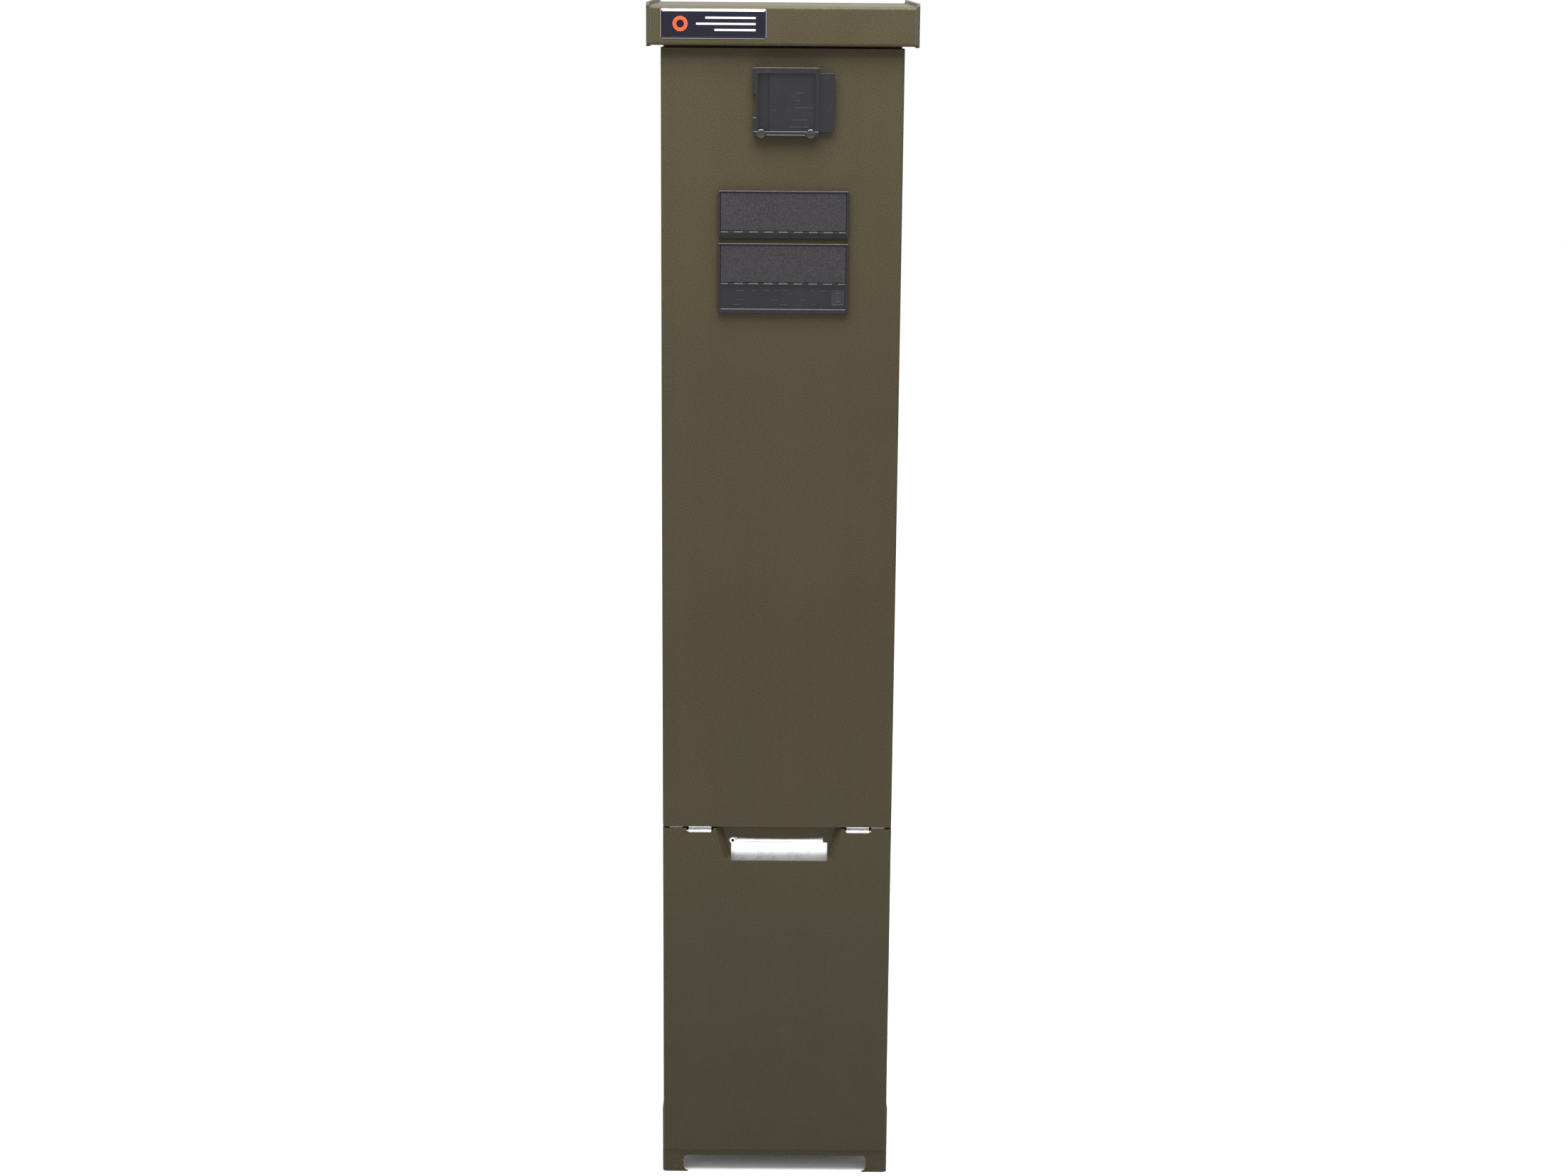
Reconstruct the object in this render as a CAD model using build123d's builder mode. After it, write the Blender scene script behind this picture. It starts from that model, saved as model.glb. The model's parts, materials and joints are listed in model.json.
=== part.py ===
from build123d import *
import os

os.makedirs("parts", exist_ok=True)

# Cable distribution pillar. Millimetres, +Z up, front towards -Y.
# The origin is on the ground, midway across the width and the depth.

# Overall sizes
body_width = 215.0
body_depth = 200.0
lower_cover_bottom = 24.3
lower_cover_height = 326.3
joint_gap = 1.6
door_height = 718.0
roof_gap = 2.3
fascia_height = 34.0

# Sheet metal
sheet = 1.5
bend_radius = 2.5
side_clearance = 0.5
seal_gap = 7.0
shell_flange = 18.5
door_return = 24.0
front_offset = 1.7  # fittings and pressings on the front sit this far right of the middle

half_width = body_width / 2
front_y = -body_depth / 2
back_y = body_depth / 2
door_inner_y = front_y + sheet
cover_top = lower_cover_bottom + lower_cover_height
door_bottom = cover_top + joint_gap
door_top = door_bottom + door_height
fascia_bottom = door_top + roof_gap
roof_top = fascia_bottom + fascia_height
shell_half = half_width - sheet - side_clearance
shell_inner_half = shell_half - sheet
shell_inner_back = back_y - sheet
flange_y = door_inner_y + seal_gap
flange_back_y = flange_y + sheet
flange_edge_x = shell_half - shell_flange

# Base frame
base_sheet = 3.0
base_height = 64.0
base_radius = 4.0
base_gap = 1.0
foot_width = 20.0
foot_height = 17.0
foot_fillet = 4.5
anchor_hole_radius = 5.5
anchor_spacing = 120.0
anchor_height = 42.0
anchor_clearance = 1.0
peg_radius = 3.0
peg_clearance = 0.3
peg_height = 45.0
peg_inset = 38.0

base_half = shell_half + base_sheet
base_front_y = front_y + sheet + base_gap
base_back_y = back_y + base_sheet
base_middle_y = (base_front_y + base_back_y) / 2
peg_x = shell_half - peg_inset

with BuildPart() as base_frame:
    with BuildSketch():
        with Locations((0, base_middle_y)):
            RectangleRounded(2 * base_half, base_back_y - base_front_y, base_radius)
        offset(amount=-base_sheet, mode=Mode.SUBTRACT)
    extrude(amount=base_height)
    with BuildSketch(Plane.XZ):
        with Locations((0, foot_height / 2)):
            Rectangle(2 * (base_half - foot_width), foot_height)
        fillet(vertices().group_by(Axis.Z)[-1], foot_fillet)
    extrude(amount=body_depth, both=True, mode=Mode.SUBTRACT)
    with BuildSketch(Plane.YZ):
        with Locations((base_middle_y, foot_height / 2)):
            Rectangle(base_back_y - base_front_y - 2 * foot_width, foot_height)
        fillet(vertices().group_by(Axis.Z)[-1], foot_fillet)
    extrude(amount=body_width, both=True, mode=Mode.SUBTRACT)
    with BuildSketch(Plane.YZ):
        with Locations((0, anchor_height)):
            with GridLocations(anchor_spacing, 1, 2, 1):
                Circle(anchor_hole_radius)
    extrude(amount=body_width, both=True, mode=Mode.SUBTRACT)
    with BuildSketch(Plane.XZ):
        with Locations((0, peg_height)):
            with GridLocations(2 * peg_x, 1, 2, 1):
                Circle(peg_radius + peg_clearance)
    extrude(amount=body_depth, mode=Mode.SUBTRACT)
base_frame.part.label = "base_frame"
export_step(base_frame.part, "parts/base_frame.step")

# Cabinet shell: back, sides and the flanges that the door closes against
shell_lift = 3.0
roof_sheet = 2.0
roof_seal_height = 4.5

shell_bottom = foot_height + shell_lift
shell_top = roof_top - roof_sheet - roof_seal_height

with BuildPart() as cabinet_shell:
    with BuildSketch(Plane.XY.offset(shell_bottom)):
        with BuildLine():
            FilletPolyline(
                (flange_edge_x, flange_y),
                (shell_half, flange_y),
                (shell_half, back_y),
                (-shell_half, back_y),
                (-shell_half, flange_y),
                (-flange_edge_x, flange_y),
                radius=bend_radius,
            )
            offset(amount=sheet, side=Side.LEFT)
        make_face()
    extrude(amount=shell_top - shell_bottom)
    with BuildSketch(Plane.YZ):
        with Locations((0, anchor_height)):
            with GridLocations(anchor_spacing, 1, 2, 1):
                Circle(anchor_hole_radius + anchor_clearance)
    extrude(amount=body_width, both=True, mode=Mode.SUBTRACT)
cabinet_shell.part.label = "cabinet_shell"
export_step(cabinet_shell.part, "parts/cabinet_shell.step")

# Roof: a folded panel with two end cheeks whose rims stand above it
roof_overhang = 12.0
roof_bend = 3.0
roof_hem = 6.0
cheek_thickness = 3.0
cheek_rim = 3.0
cheek_proud = 1.5
cheek_drop = 1.0
cheek_chamfer = 2.5
cheek_flange = 9.0
cheek_flange_inset = 12.0
roof_seal_width = 8.0
stud_radius = 3.0
stud_clearance = 0.3
stud_x = 70.0
stud_inset = 15.5
stud_length = 18.5
nut_across = 10.0
nut_height = 5.0
rail_depth = 24.0
rail_height = 32.0
rail_end_gap = 1.0

roof_front_y = front_y - roof_overhang
roof_back_y = back_y + roof_overhang
roof_half = half_width + roof_overhang - cheek_thickness
roof_under = roof_top - roof_sheet
rail_half = shell_inner_half - rail_end_gap
front_stud_y = flange_y + stud_inset
rear_stud_y = shell_inner_back - stud_inset

with BuildPart() as roof_panel:
    with BuildSketch(Plane.YZ.offset(-roof_half)):
        with BuildLine():
            FilletPolyline(
                (roof_front_y + roof_hem, fascia_bottom),
                (roof_front_y, fascia_bottom),
                (roof_front_y, roof_top),
                (roof_back_y, roof_top),
                (roof_back_y, fascia_bottom),
                (roof_back_y - roof_hem, fascia_bottom),
                radius=roof_bend,
            )
            offset(amount=roof_sheet, side=Side.RIGHT)
        make_face()
    extrude(amount=2 * roof_half)
roof_panel.part.label = "roof_panel"
export_step(roof_panel.part, "parts/roof_panel.step")

for side, side_name in ((-1, "left"), (1, "right")):
    with BuildPart() as roof_cheek:
        with BuildSketch(Plane.YZ.offset(side * roof_half)):
            with Locations((0, (fascia_bottom - cheek_drop + roof_top + cheek_rim) / 2)):
                Rectangle(
                    roof_back_y - roof_front_y + 2 * cheek_proud,
                    fascia_height + cheek_drop + cheek_rim,
                )
            chamfer(vertices(), cheek_chamfer)
        extrude(amount=side * cheek_thickness)
        with BuildSketch(Plane.XY.offset(roof_under)):
            with Locations((side * (roof_half - cheek_flange / 2), 0)):
                Rectangle(cheek_flange, roof_back_y - roof_front_y - 2 * cheek_flange_inset)
        extrude(amount=-cheek_thickness)
    roof_cheek.part.label = f"roof_cheek_{side_name}"
    export_step(roof_cheek.part, f"parts/roof_cheek_{side_name}.step")

with BuildPart() as roof_seal:
    with BuildSketch(Plane.XY.offset(shell_top)):
        with Locations((0, (flange_y + back_y) / 2)):
            Rectangle(2 * shell_half, back_y - flange_y)
        offset(amount=-roof_seal_width, mode=Mode.SUBTRACT)
    extrude(amount=roof_seal_height)
roof_seal.part.label = "roof_seal"
export_step(roof_seal.part, "parts/roof_seal.step")

with BuildPart() as top_cross_member_front:
    with BuildSketch(Plane.YZ.offset(-rail_half)):
        with BuildLine():
            Polyline(
                (flange_back_y, shell_top - rail_height),
                (flange_back_y, shell_top),
                (flange_back_y + rail_depth, shell_top),
            )
            offset(amount=sheet, side=Side.RIGHT)
        make_face()
    extrude(amount=2 * rail_half)
    with Locations(Plane.XY.offset(shell_top)):
        with Locations((-stud_x, front_stud_y), (stud_x, front_stud_y)):
            Hole(stud_radius + stud_clearance, depth=2 * sheet)
top_cross_member_front.part.label = "top_cross_member_front"
export_step(top_cross_member_front.part, "parts/top_cross_member_front.step")

with BuildPart() as top_cross_member_rear:
    with BuildSketch(Plane.YZ.offset(-rail_half)):
        with BuildLine():
            Polyline(
                (shell_inner_back - rail_depth, shell_top),
                (shell_inner_back, shell_top),
                (shell_inner_back, shell_top - rail_height),
            )
            offset(amount=sheet, side=Side.RIGHT)
        make_face()
    extrude(amount=2 * rail_half)
    with Locations(Plane.XY.offset(shell_top)):
        with Locations((-stud_x, rear_stud_y), (stud_x, rear_stud_y)):
            Hole(stud_radius + stud_clearance, depth=2 * sheet)
top_cross_member_rear.part.label = "top_cross_member_rear"
export_step(top_cross_member_rear.part, "parts/top_cross_member_rear.step")

roof_stud_places = [(x, y) for x in (-stud_x, stud_x) for y in (front_stud_y, rear_stud_y)]

with BuildPart() as roof_studs:
    with BuildSketch(Plane.XY.offset(roof_under)):
        with Locations(roof_stud_places):
            Circle(stud_radius)
    extrude(amount=-stud_length)
roof_studs.part.label = "roof_studs"
export_step(roof_studs.part, "parts/roof_studs.step")

with BuildPart() as roof_nuts:
    with BuildSketch(Plane.XY.offset(shell_top - sheet)):
        with Locations(roof_stud_places):
            RegularPolygon(nut_across / 2, 6, major_radius=False)
            Circle(stud_radius, mode=Mode.SUBTRACT)
    extrude(amount=-nut_height)
roof_nuts.part.label = "roof_nuts"
export_step(roof_nuts.part, "parts/roof_nuts.step")

# Badge on the fascia: a plain metal plate under a clear-cast dome
badge_width = 92.5
badge_height = 25.5
badge_centre_x = -60.8
badge_drop = 2.6
badge_plate_thickness = 0.5
badge_dome_thickness = 0.9
badge_radius = 1.5
badge_border = 0.6

badge_centre_z = roof_top - badge_drop - badge_height / 2

with BuildPart() as badge_plate:
    with BuildSketch(Plane.XZ.offset(-roof_front_y)):
        with Locations((badge_centre_x, badge_centre_z)):
            RectangleRounded(badge_width, badge_height, badge_radius)
    extrude(amount=badge_plate_thickness)
badge_plate.part.label = "badge_plate"
export_step(badge_plate.part, "parts/badge_plate.step")

with BuildPart() as badge_dome:
    with BuildSketch(Plane.XZ.offset(badge_plate_thickness - roof_front_y)):
        with Locations((badge_centre_x, badge_centre_z)):
            RectangleRounded(badge_width - badge_border, badge_height - badge_border, badge_radius)
    extrude(amount=badge_dome_thickness)
    chamfer(faces().sort_by(Axis.Y)[0].edges(), badge_dome_thickness / 2)
badge_dome.part.label = "badge_dome"
export_step(badge_dome.part, "parts/badge_dome.step")

# Lock place, shared by the door, the keeper and the lock parts
lock_x = 3.0
lock_drop = 46.2
housing_radius = 11.0
housing_clearance = 0.2
cam_length = 56.0
cam_thickness = 3.0
cam_width = 16.0
cam_gap = 2.0
keeper_thickness = 3.0
keeper_width = 36.0
keeper_leg = 20.0
keeper_reach = 18.5
keeper_head_gap = 8.5
keeper_overlap = 24.0

lock_z = door_top - lock_drop
keeper_bottom = lock_z + cam_length - keeper_overlap
keeper_top = keeper_bottom + keeper_leg
keeper_tab_top = shell_top - sheet - keeper_head_gap
member_back_y = flange_back_y + sheet
keeper_back_y = member_back_y + keeper_reach
cam_front_y = keeper_back_y + cam_gap

with BuildPart() as lock_keeper:
    with BuildSketch(Plane.YZ.offset(lock_x - keeper_width / 2)):
        with BuildLine():
            Polyline(
                (member_back_y, keeper_tab_top),
                (member_back_y, keeper_top - keeper_thickness),
                (keeper_back_y - keeper_thickness, keeper_top - keeper_thickness),
                (keeper_back_y - keeper_thickness, keeper_bottom),
                (keeper_back_y, keeper_bottom),
                (keeper_back_y, keeper_top),
                (member_back_y + keeper_thickness, keeper_top),
                (member_back_y + keeper_thickness, keeper_tab_top),
                close=True,
            )
        make_face()
    extrude(amount=keeper_width)
lock_keeper.part.label = "lock_keeper"
export_step(lock_keeper.part, "parts/lock_keeper.step")

# Middle cross member, between the switch compartment and the cable compartment
middle_rise = 83.0
middle_flange = 18.0
middle_drop = 7.0

middle_bottom = door_bottom - middle_drop
middle_top = middle_bottom + middle_rise

with BuildPart() as mid_cross_member:
    with BuildSketch(Plane.YZ.offset(-rail_half)):
        with BuildLine():
            Polyline(
                (flange_back_y + middle_flange, middle_bottom),
                (flange_back_y, middle_bottom),
                (flange_back_y, middle_top),
                (flange_back_y + middle_flange, middle_top),
            )
            offset(amount=sheet, side=Side.RIGHT)
        make_face()
    extrude(amount=2 * rail_half)
mid_cross_member.part.label = "mid_cross_member"
export_step(mid_cross_member.part, "parts/mid_cross_member.step")

# Hinge: pins in brackets on the shell's flanges, low behind the joint
hinge_setback = 5.5
hinge_drop = 6.0
pin_radius = 2.5
pin_clearance = 0.05
barrel_radius = 3.7
tongue_width = 21.5
tongue_edge_gap = 0.3
tongue_sheet = 1.5
tongue_height = 60.0
tongue_rise = 8.5
tongue_jog = 5.0
tongue_door_gap = 0.2
bracket_height = 15.6
bracket_edge = 2.0
bracket_width = 12.0
bracket_margin = 1.0
pin_end = 1.0
pin_inner_gap = 2.0

hinge_y = front_y + hinge_setback
hinge_z = door_bottom - hinge_drop
bracket_inner_x = flange_edge_x + bracket_edge
bracket_outer_x = bracket_inner_x + bracket_width
tongue_outer = flange_edge_x - front_offset - tongue_edge_gap
tongue_inner = tongue_outer - tongue_width
tongue_middle = (tongue_outer + tongue_inner) / 2
pin_outer_x = bracket_outer_x + pin_end
pin_inner_x = tongue_inner - pin_inner_gap
bracket_front_y = hinge_y - pin_radius - bracket_margin + sheet / 2

with BuildPart() as hinge_brackets:
    for side in (-1, 1):
        with BuildSketch(Plane.YZ.offset(side * bracket_inner_x)):
            with Locations(((bracket_front_y + flange_y) / 2, hinge_z)):
                Rectangle(flange_y - bracket_front_y, bracket_height)
            with Locations((hinge_y, hinge_z)):
                Circle(pin_radius, mode=Mode.SUBTRACT)
        extrude(amount=side * bracket_width)
hinge_brackets.part.label = "hinge_brackets"
export_step(hinge_brackets.part, "parts/hinge_brackets.step")

with BuildPart() as hinge_pins:
    for side in (-1, 1):
        with BuildSketch(Plane.YZ.offset(side * pin_inner_x)):
            with Locations((hinge_y, hinge_z)):
                Circle(pin_radius)
        extrude(amount=side * (pin_outer_x - pin_inner_x))
hinge_pins.part.label = "hinge_pins"
export_step(hinge_pins.part, "parts/hinge_pins.step")

tongue_front_y = door_inner_y + tongue_door_gap
riser_front_y = hinge_y - tongue_sheet / 2

with BuildPart() as hinge_tongues:
    for side in (-1, 1):
        with BuildSketch(Plane.YZ.offset(front_offset + side * tongue_middle)):
            with Locations((hinge_y, hinge_z)):
                Circle(barrel_radius)
            with BuildLine():
                Polyline(
                    (riser_front_y, hinge_z),
                    (riser_front_y, hinge_z + tongue_rise),
                    (tongue_front_y, hinge_z + tongue_rise + tongue_jog),
                    (tongue_front_y, hinge_z + tongue_height),
                )
                offset(amount=tongue_sheet, side=Side.RIGHT)
            make_face()
            with Locations((hinge_y, hinge_z)):
                Circle(pin_radius + pin_clearance, mode=Mode.SUBTRACT)
        extrude(amount=tongue_width / 2, both=True)
hinge_tongues.part.label = "hinge_tongues"
export_step(hinge_tongues.part, "parts/hinge_tongues.step")

# Door panel: a tray whose side edges overlap the shell's sides
door_hem = 6.0
return_relief = 1.6
cover_screw_radius = 1.5
cover_screw_clearance = 0.1
rivet_radius = 1.6
rivet_clearance = 0.1

# Lock cover and label holders, measured down from the door's top edge
frame_width = 58.5
frame_height = 60.0
frame_centre_x = 3.25
frame_drop = 16.2
frame_thickness = 9.0
frame_radius = 2.0
cover_screw_span = 43.7
cover_screw_rise = 2.7
label_width = 116.3
label_thickness = 5.0
upper_label_height = 41.9
upper_label_drop = 123.9
lower_label_height = 62.4
lower_label_drop = 170.5
label_rivet_inset = 7.0

frame_bottom = door_top - frame_drop - frame_height
frame_middle_z = frame_bottom + frame_height / 2
cover_screw_z = frame_bottom + cover_screw_rise
label_specs = (
    ("upper", door_top - upper_label_drop, upper_label_height),
    ("lower", door_top - lower_label_drop, lower_label_height),
)
rivet_x = label_width / 2 - label_rivet_inset
rivet_places = [
    (front_offset + x, top - height / 2)
    for name, top, height in label_specs
    for x in (-rivet_x, rivet_x)
]
cover_screw_places = [
    (frame_centre_x - cover_screw_span / 2, cover_screw_z),
    (frame_centre_x + cover_screw_span / 2, cover_screw_z),
]

with BuildPart() as door_panel:
    with BuildSketch(Plane.XY.offset(door_bottom)):
        with BuildLine():
            FilletPolyline(
                (-half_width, front_y + door_return),
                (-half_width, front_y),
                (half_width, front_y),
                (half_width, front_y + door_return),
                radius=bend_radius,
            )
            offset(amount=sheet, side=Side.LEFT)
        make_face()
    extrude(amount=door_height)
    with BuildSketch(Plane.XZ.offset(-door_inner_y)):
        with Locations((0, door_top - sheet / 2)):
            Rectangle(body_width - 2 * sheet, sheet)
    extrude(amount=-door_hem)
    with BuildSketch(Plane.XZ.offset(-door_inner_y)):
        with Locations((0, door_bottom + return_relief / 2)):
            Rectangle(2 * body_width, return_relief)
    extrude(amount=-door_return, mode=Mode.SUBTRACT)
    with BuildSketch(Plane.XZ):
        with Locations((lock_x, lock_z)):
            Circle(housing_radius + housing_clearance)
        with Locations(cover_screw_places):
            Circle(cover_screw_radius + cover_screw_clearance)
        with Locations(rivet_places):
            Circle(rivet_radius + rivet_clearance)
    extrude(amount=body_depth, mode=Mode.SUBTRACT)
door_panel.part.label = "door_panel"
export_step(door_panel.part, "parts/door_panel.step")

# Pockets on the door that the tongues slide into
socket_wall = 1.5
socket_gap = 0.3
socket_rise = 14.0
socket_top_gap = 0.2

socket_bottom = door_bottom + socket_rise
tongue_top = hinge_z + tongue_height
socket_top = tongue_top + socket_top_gap + socket_wall
socket_back_y = tongue_front_y + tongue_sheet + socket_gap + socket_wall
socket_half = tongue_width / 2 + socket_gap + socket_wall

with BuildPart() as door_tongue_sockets:
    for side in (-1, 1):
        with BuildSketch(Plane.XZ.offset(-socket_back_y)):
            with Locations((front_offset + side * tongue_middle, (socket_bottom + socket_top) / 2)):
                Rectangle(2 * socket_half, socket_top - socket_bottom)
        extrude(amount=socket_back_y - door_inner_y)
        with BuildSketch(Plane.XZ.offset(socket_wall - socket_back_y)):
            with Locations(
                (front_offset + side * tongue_middle, (socket_bottom + socket_top - socket_wall) / 2)
            ):
                Rectangle(2 * (socket_half - socket_wall), socket_top - socket_wall - socket_bottom)
        extrude(amount=socket_back_y - door_inner_y, mode=Mode.SUBTRACT)
door_tongue_sockets.part.label = "door_tongue_sockets"
export_step(door_tongue_sockets.part, "parts/door_tongue_sockets.step")

# Door gasket: a foam ring, deeper where it meets the cross members
gasket_width = 12.0
gasket_edge = 3.5
gasket_stop = 0.5
gasket_top_gap = 6.0
gasket_bottom_gap = 4.0
gasket_pad_inset = 1.0

gasket_outer_x = shell_half - gasket_edge
gasket_top = door_top - gasket_top_gap
gasket_bottom = socket_top + gasket_bottom_gap
gasket_back_y = flange_y - gasket_stop
gasket_pad_back_y = flange_back_y - gasket_stop
gasket_pad_half = flange_edge_x - gasket_pad_inset

with BuildPart() as door_gasket:
    with BuildSketch(Plane.XZ.offset(-gasket_back_y)):
        with Locations((0, (gasket_top + gasket_bottom) / 2)):
            Rectangle(2 * gasket_outer_x, gasket_top - gasket_bottom)
        offset(amount=-gasket_width, mode=Mode.SUBTRACT)
    extrude(amount=gasket_back_y - door_inner_y)
    with BuildSketch(Plane.XZ.offset(-gasket_pad_back_y)):
        for pad_z in (gasket_bottom + gasket_width / 2, gasket_top - gasket_width / 2):
            with Locations((0, pad_z)):
                Rectangle(2 * gasket_pad_half, gasket_width)
    extrude(amount=gasket_pad_back_y - gasket_back_y)
door_gasket.part.label = "door_gasket"
export_step(door_gasket.part, "parts/door_gasket.step")

# Lock: housing through the door, nut behind it, plug with cam
housing_head_radius = 13.0
housing_head = 2.0
plug_radius = 8.45
plug_clearance = 0.05
plug_face_gap = 0.5
key_slot_width = 2.2
key_slot_height = 9.0
key_slot_depth = 10.0
nut_ring_radius = 16.0
nut_ring_height = 5.5
shaft_half = 4.0
cam_screw_radius = 2.5
cam_screw_head = 4.5
cam_screw_height = 3.0
cam_screw_length = 8.0
cam_end_gap = 1.0

housing_rear_y = cam_front_y - cam_end_gap
cam_back_y = cam_front_y + cam_thickness

with BuildPart() as lock_housing:
    with BuildSketch(Plane.XZ.offset(-front_y)):
        with Locations((lock_x, lock_z)):
            Circle(housing_head_radius)
    extrude(amount=housing_head)
    with BuildSketch(Plane.XZ.offset(-housing_rear_y)):
        with Locations((lock_x, lock_z)):
            Circle(housing_radius)
    extrude(amount=housing_rear_y - front_y)
    with BuildSketch(Plane.XZ):
        with Locations((lock_x, lock_z)):
            Circle(plug_radius + plug_clearance)
    extrude(amount=body_depth, mode=Mode.SUBTRACT)
lock_housing.part.label = "lock_housing"
export_step(lock_housing.part, "parts/lock_housing.step")

with BuildPart() as lock_nut:
    with BuildSketch(Plane.XZ.offset(-door_inner_y)):
        with Locations((lock_x, lock_z)):
            RegularPolygon(nut_ring_radius, 6, major_radius=False)
            Circle(housing_radius, mode=Mode.SUBTRACT)
    extrude(amount=-nut_ring_height)
lock_nut.part.label = "lock_nut"
export_step(lock_nut.part, "parts/lock_nut.step")

with BuildPart() as lock_plug:
    with BuildSketch(Plane.XZ.offset(-housing_rear_y)):
        with Locations((lock_x, lock_z)):
            Circle(plug_radius)
    extrude(amount=housing_rear_y - front_y + housing_head - plug_face_gap)
    with BuildSketch(Plane.XZ.offset(-cam_front_y)):
        with Locations((lock_x, lock_z)):
            Circle(plug_radius)
    extrude(amount=cam_end_gap)
    with BuildSketch(Plane.XZ.offset(-cam_back_y)):
        with Locations((lock_x, lock_z)):
            Rectangle(2 * shaft_half, 2 * shaft_half)
    extrude(amount=cam_thickness)
    with BuildSketch(Plane.XZ.offset(-cam_back_y)):
        with Locations((lock_x, lock_z)):
            Circle(cam_screw_radius)
    extrude(amount=cam_screw_length, mode=Mode.SUBTRACT)
    with BuildSketch(Plane.XZ.offset(-(front_y - housing_head + plug_face_gap))):
        with Locations((lock_x, lock_z)):
            Rectangle(key_slot_width, key_slot_height)
    extrude(amount=-key_slot_depth, mode=Mode.SUBTRACT)
lock_plug.part.label = "lock_plug"
export_step(lock_plug.part, "parts/lock_plug.step")

with BuildPart() as lock_cam:
    with BuildSketch(Plane.XZ.offset(-cam_back_y)):
        with Locations((lock_x + (cam_length - cam_width / 2) / 2, lock_z)):
            SlotCenterToCenter(cam_length - cam_width / 2, cam_width)
        with Locations((lock_x, lock_z)):
            Rectangle(2 * shaft_half, 2 * shaft_half, mode=Mode.SUBTRACT)
    extrude(amount=cam_thickness)
lock_cam.part.label = "lock_cam"
export_step(lock_cam.part, "parts/lock_cam.step")

with BuildPart() as cam_screw:
    with BuildSketch(Plane.XZ.offset(-cam_back_y)):
        with Locations((lock_x, lock_z)):
            RegularPolygon(cam_screw_head, 6, major_radius=False)
    extrude(amount=-cam_screw_height)
    with BuildSketch(Plane.XZ.offset(-cam_back_y)):
        with Locations((lock_x, lock_z)):
            Circle(cam_screw_radius)
    extrude(amount=cam_screw_length)
cam_screw.part.label = "cam_screw"
export_step(cam_screw.part, "parts/cam_screw.step")

# Lock cover: a frame on the door, and a weather plate that slides sideways in it
frame_left_bar = 4.5
frame_right_bar = 3.5
frame_top_rail = 5.0
frame_bottom_rail = 4.8
frame_edge = 0.8
grip_notch_depth = 2.0
grip_notch_height = 20.0
grip_notch_rise = 27.0
plate_thickness = 2.0
plate_height = 51.1
plate_rise = 4.3
plate_left_inset = 14.2
plate_stick_out = 13.5
plate_gap = 0.3
plate_setback = 2.75
plate_travel_left = 9.0
plate_radius = 0.5
plate_lap = 0.5

frame_left = frame_centre_x - frame_width / 2
frame_right = frame_left + frame_width
frame_front_y = front_y - frame_thickness
plate_front_y = frame_front_y + plate_setback
plate_left = frame_left + plate_left_inset
plate_right = frame_right + plate_stick_out
plate_middle_z = frame_bottom + plate_rise + plate_height / 2
channel_left = plate_left - plate_travel_left - plate_gap
channel_floor_y = plate_front_y + plate_thickness + plate_gap
recess_left = frame_left + frame_left_bar
keyway_left = plate_left + plate_lap
window_side = frame_right - frame_right_bar

with BuildPart() as lock_cover_frame:
    with BuildSketch(Plane.XZ.offset(-front_y)):
        with Locations((frame_centre_x, frame_middle_z)):
            RectangleRounded(frame_width, frame_height, frame_radius)
        with Locations((frame_left, frame_bottom + grip_notch_rise)):
            Rectangle(2 * grip_notch_depth, grip_notch_height, mode=Mode.SUBTRACT)
    extrude(amount=frame_thickness)
    chamfer(faces().sort_by(Axis.Y)[0].edges(), frame_edge)
    for cut_left, cut_back_y in ((recess_left, channel_floor_y), (keyway_left, front_y)):
        with BuildSketch(Plane.XZ.offset(-cut_back_y)):
            with Locations(
                (
                    (cut_left + window_side) / 2,
                    frame_bottom + (frame_bottom_rail + frame_height - frame_top_rail) / 2,
                )
            ):
                Rectangle(window_side - cut_left, frame_height - frame_bottom_rail - frame_top_rail)
        extrude(amount=frame_thickness, mode=Mode.SUBTRACT)
    with BuildSketch(Plane.XZ.offset(-channel_floor_y)):
        with Locations(((channel_left + frame_right) / 2, plate_middle_z)):
            Rectangle(frame_right - channel_left, plate_height + 2 * plate_gap)
    extrude(amount=plate_thickness + 2 * plate_gap, mode=Mode.SUBTRACT)
    with BuildSketch(Plane.XZ.offset(-front_y)):
        with Locations(cover_screw_places):
            Circle(cover_screw_radius)
    extrude(amount=frame_thickness, mode=Mode.SUBTRACT)
lock_cover_frame.part.label = "lock_cover_frame"
export_step(lock_cover_frame.part, "parts/lock_cover_frame.step")

with BuildPart() as lock_cover_slide:
    with BuildSketch(Plane.XZ.offset(-(plate_front_y + plate_thickness))):
        with Locations(((plate_left + plate_right) / 2, plate_middle_z)):
            RectangleRounded(plate_right - plate_left, plate_height, plate_radius)
    extrude(amount=plate_thickness)
lock_cover_slide.part.label = "lock_cover_slide"
export_step(lock_cover_slide.part, "parts/lock_cover_slide.step")

cover_screw_head = 2.2
cover_screw_dome = 1.0
cover_nut_radius = 4.0
cover_nut_height = 1.2

with BuildPart() as lock_cover_screws:
    with BuildSketch(Plane.XZ.offset(-(door_inner_y + cover_nut_height))):
        with Locations(cover_screw_places):
            Circle(cover_screw_radius)
    extrude(amount=cover_nut_height + sheet + frame_thickness)
    with BuildSketch(Plane.XZ.offset(-frame_front_y)):
        with Locations(cover_screw_places):
            Circle(cover_screw_head)
    extrude(amount=cover_screw_dome)
    with BuildSketch(Plane.XZ.offset(-(door_inner_y + cover_nut_height))):
        with Locations(cover_screw_places):
            Circle(cover_nut_radius)
    extrude(amount=cover_nut_height)
lock_cover_screws.part.label = "lock_cover_screws"
export_step(lock_cover_screws.part, "parts/lock_cover_screws.step")

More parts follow.
